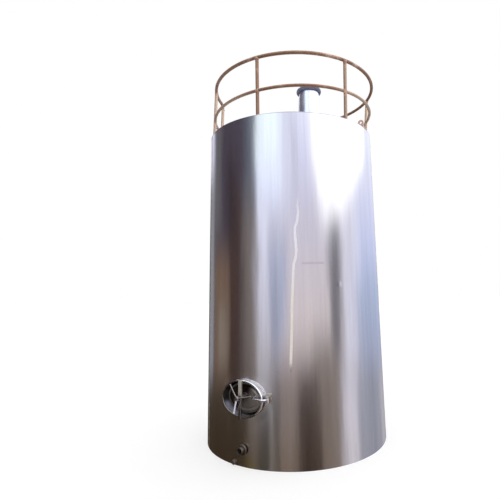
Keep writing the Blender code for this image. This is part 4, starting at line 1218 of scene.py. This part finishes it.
class Surroundings(Finish):
    """The world, as soft cards of tone round the tank, given by azimuth and elevation in degrees."""

    def __init__(self):
        super().__init__(bpy.data.worlds.new("surroundings"), "Generated")
        self.azimuth = self.x.maths("ARCTAN2", self.y * -1.0) * (180.0 / math.pi)
        self.elevation = self.z.maths("ARCSINE") * (180.0 / math.pi)
        self.colour = None

    def heights(self, stops):
        """A tone that changes with the elevation, from -30 to 60 degrees."""
        placed_stops = [((degrees + 30.0) / 90.0, tone) for degrees, tone in stops]
        return self.node("ShaderNodeValToRGB", {"stops": placed_stops}, [(self.elevation + 30.0) / 90.0])

    def add(self, tone, *masks):
        """Lays a tone over the surroundings, where all of its masks are 1."""
        self.colour = self.mix(math.prod(masks), self.colour, tone)

    def card(self, tone, azimuths, elevations=(-90.0, 90.0), soft=(6.0, 4.0)):
        """One card of a tone between two azimuths and two elevations, with soft sides, but none at an end of
        the scale."""
        masks = []
        for value, limit, ends, width in (
            (self.azimuth, 180.0, azimuths, soft[0]), (self.elevation, 90.0, elevations, soft[1])
        ):
            for end, half in zip(ends, (width / 2.0, -width / 2.0)):
                if abs(end) < limit:
                    masks.append(self.step(value, end - half, end + half))
        self.add(tone, *masks)

    def bright_gap(self, tone):
        """The glaring sky right of the middle: above a roofline that climbs to the right from 9.4 degrees at
        azimuth 60 by 0.125 degrees a degree, and right of an edge that leans, more so below 17 degrees."""
        roofline = (self.azimuth - 60.0).maths("MAXIMUM", 0.0) * 0.125 + 9.4
        lean = self.elevation * 0.55 - (17.0 - self.elevation).maths("MAXIMUM", 0.0) * 1.1
        self.add(
            tone, self.step(self.elevation - roofline, -1.2, 1.2), self.step(self.azimuth + lean, 35.0, 42.0),
            self.step(self.azimuth, 134.0, 112.0)
        )

    def end(self):
        """Mirrors see the cards, and the camera and soft light see plain white."""
        mirrored = self.node("ShaderNodeLightPath", output="Is Glossy Ray")
        seen = self.mix(mirrored, (1.0, 1.0, 1.0), self.colour)
        background = self.node("ShaderNodeBackground", inputs={"Color": seen, "Strength": 1.0})
        self.node("ShaderNodeOutputWorld", inputs=[background])
        bpy.context.scene.world = self.owner
        self.owner.cycles.sampling_method = "NONE"


def build_surroundings():
    """What stands round the tank in the photograph, as the steel mirrors it.

    Azimuths and elevations are those of the mirrored direction, in degrees, with 0 towards the camera.
    """
    s = Surroundings()
    s.colour = s.heights((
        (-25.0, (0.14, 0.095, 0.070)), (-16.0, (0.215, 0.155, 0.12)), (-12.5, (0.25, 0.19, 0.155)),
        (-9.5, (0.67, 0.57, 0.555)), (-5.5, (0.91, 0.81, 0.80)), (-0.6, (0.87, 0.79, 0.81)),
        (10.0, (0.80, 0.77, 0.90)), (19.0, (0.92, 0.95, 1.22)), (32.0, (1.25, 1.30, 1.45)),
    ))
    # In front of the tank and to its left
    clear_sky = s.heights((
        (12.0, (1.02, 1.10, 1.41)), (16.0, (1.14, 1.23, 1.46)), (20.0, (1.24, 1.40, 1.45)),
    ))
    s.card((1.0, 1.02, 1.22), (-16.0, -2.0), (11.0, 90.0), (6.0, 6.0))
    s.card((0.72, 0.72, 0.88), (-1.5, 6.5), (7.0, 24.0), (5.0, 8.0))
    s.card(clear_sky, (-54.0, -14.0), (12.0, 90.0), (4.0, 6.0))
    left_sky = s.heights((
        (-14.5, (0.56, 0.53, 0.55)), (-11.0, (0.62, 0.60, 0.63)), (-8.0, (0.73, 0.71, 0.77)),
        (-4.5, (0.82, 0.81, 0.91)), (-1.0, (0.91, 0.91, 1.07)), (6.0, (1.02, 1.04, 1.22)),
    ))
    s.card(left_sky, (-48.2, -33.0), (-14.5, 12.0), (3.0, 4.0))
    s.card((0.51, 0.57, 0.76), (-32.0, -9.0), (-7.0, 7.0), (3.0, 8.0))
    s.card((0.42, 0.455, 0.59), (-31.0, -18.0), (-10.0, 2.0), (3.0, 6.0))
    s.card((0.295, 0.235, 0.20), (-22.0, 6.0), (-90.0, -12.0), (4.0, 3.0))
    s.card((0.31, 0.275, 0.26), (18.0, 55.0), (-14.0, -7.0), (8.0, 5.0))
    s.card((0.43, 0.41, 0.40), (-32.0, -27.0), (-90.0, -10.0), (2.0, 5.0))
    s.card((0.030, 0.026, 0.022), (-26.5, -20.5), (-90.0, -13.0), (2.0, 3.0))
    s.card((0.052, 0.050, 0.044), (-46.0, -32.6), (-90.0, -15.5), (3.0, 4.0))
    # The dark shed on the left, with lighter and darker bays
    s.card((0.085, 0.070, 0.095), (-134.0, -49.0), (-90.0, 40.0), (4.0, 10.0))
    s.card((0.125, 0.14, 0.18), (-66.0, -49.0), (9.0, 40.0), (4.0, 6.0))
    s.card((0.155, 0.145, 0.155), (-136.0, -112.0), (7.0, 40.0), (8.0, 6.0))
    s.card((0.074, 0.042, 0.034), (-93.0, -71.0), (-90.0, 14.0), (6.0, 8.0))
    s.card((0.048, 0.034, 0.038), (-97.0, -80.0), (5.0, 18.0), (6.0, 6.0))
    s.card((0.225, 0.15, 0.105), (-128.0, -94.0), (-90.0, 5.0), (6.0, 7.0))
    s.card((0.29, 0.24, 0.19), (-116.0, -96.0), (-10.0, -2.5), (6.0, 4.0))
    s.card((0.205, 0.172, 0.155), (-69.0, -47.2), (-90.0, 12.0), (3.0, 8.0))
    s.card((0.33, 0.34, 0.36), (-168.0, -132.0), (-90.0, 16.0), (6.0, 8.0))
    s.card((0.92, 0.86, 0.90), (-170.0, -147.0), (16.0, 90.0), (6.0, 5.0))
    s.card((0.062, 0.045, 0.030), (-180.0, -60.0), (-90.0, -11.5), (8.0, 6.0))
    s.card((0.18, 0.150, 0.130), (-62.0, -47.0), (-90.0, -12.0), (5.0, 5.0))
    s.card((0.15, 0.145, 0.15), (-168.0, -148.0), (-11.0, 13.0), (6.0, 6.0))
    # The pale blue wall on the right, and what stands before it
    blue_wall = s.heights((
        (-13.0, (0.40, 0.42, 0.51)), (-9.5, (0.46, 0.50, 0.66)), (-0.6, (0.54, 0.63, 0.85)),
        (5.0, (0.72, 0.79, 1.07)), (12.0, (0.88, 0.91, 1.15)), (20.0, (1.06, 1.11, 1.26)),
    ))
    s.card(blue_wall, (88.0, 175.0), (-90.0, 90.0), (4.0, 10.0))
    s.card((0.54, 0.52, 0.57), (131.0, 170.0), (-90.0, -11.0), (8.0, 7.0))
    s.card((0.37, 0.385, 0.45), (58.0, 131.0), (-90.0, -11.0), (8.0, 6.0))
    s.card((0.90, 0.90, 1.04), (65.5, 88.0), (-11.0, 40.0), (4.0, 6.0))
    s.card((0.88, 0.91, 1.10), (86.0, 99.0), (1.0, 14.0), (4.0, 6.0))
    s.card((0.80, 0.76, 0.83), (58.0, 84.0), (-90.0, -11.0), (3.0, 6.0))
    s.card((0.155, 0.150, 0.170), (47.5, 62.5), (-9.0, 10.0), (4.5, 2.5))
    s.card((0.25, 0.20, 0.165), (27.5, 57.5), (-90.0, -9.5), (3.0, 4.0))
    s.card((0.052, 0.031, 0.020), (1.0, 28.5), (-90.0, -10.8), (4.0, 3.0))
    s.bright_gap((1.75, 1.75, 1.78))
    # Behind the tank: the brown edge of its outline
    s.card((0.15, 0.095, 0.065), (-180.0, -167.0), (-90.0, 90.0), (4.0, 4.0))
    s.card((0.15, 0.095, 0.065), (168.0, 180.0), (-90.0, 90.0), (4.0, 4.0))
    s.end()


def build_camera():
    """The camera at the photograph's place: its axes come from its yaw, pitch and roll, and its lens from the
    focal length and the middle of the picture, in pixels of 500 across."""
    yaw, pitch, roll = 0.0173, 0.1635, -0.024
    focal, middle_x, middle_y = 404.91, 299.42, 220.13
    ahead = np.array((math.sin(yaw) * math.cos(pitch), math.cos(yaw) * math.cos(pitch), math.sin(pitch)))
    right = np.array((math.cos(yaw), -math.sin(yaw), 0.0))
    up = np.cross(right, ahead)
    rows = np.eye(4)
    rows[:3, 0] = math.cos(roll) * right + math.sin(roll) * up
    rows[:3, 1] = math.cos(roll) * up - math.sin(roll) * right
    rows[:3, 2] = -ahead
    rows[:3, 3] = (0.0, -4.973, 1.646)
    lens = bpy.data.cameras.new("photo_camera")
    lens.sensor_width = 36.0
    lens.lens = focal / 500.0 * lens.sensor_width
    lens.shift_x = (250.0 - middle_x) / 500.0
    lens.shift_y = (middle_y - 250.0) / 500.0
    camera = bpy.data.objects.new("photo_camera", lens)
    camera.matrix_world = Matrix(rows.tolist())
    bpy.context.scene.collection.objects.link(camera)
    bpy.context.scene.camera = camera
    bpy.context.scene.view_settings.view_transform = "Standard"


build_stage()
build_surroundings()
build_camera()
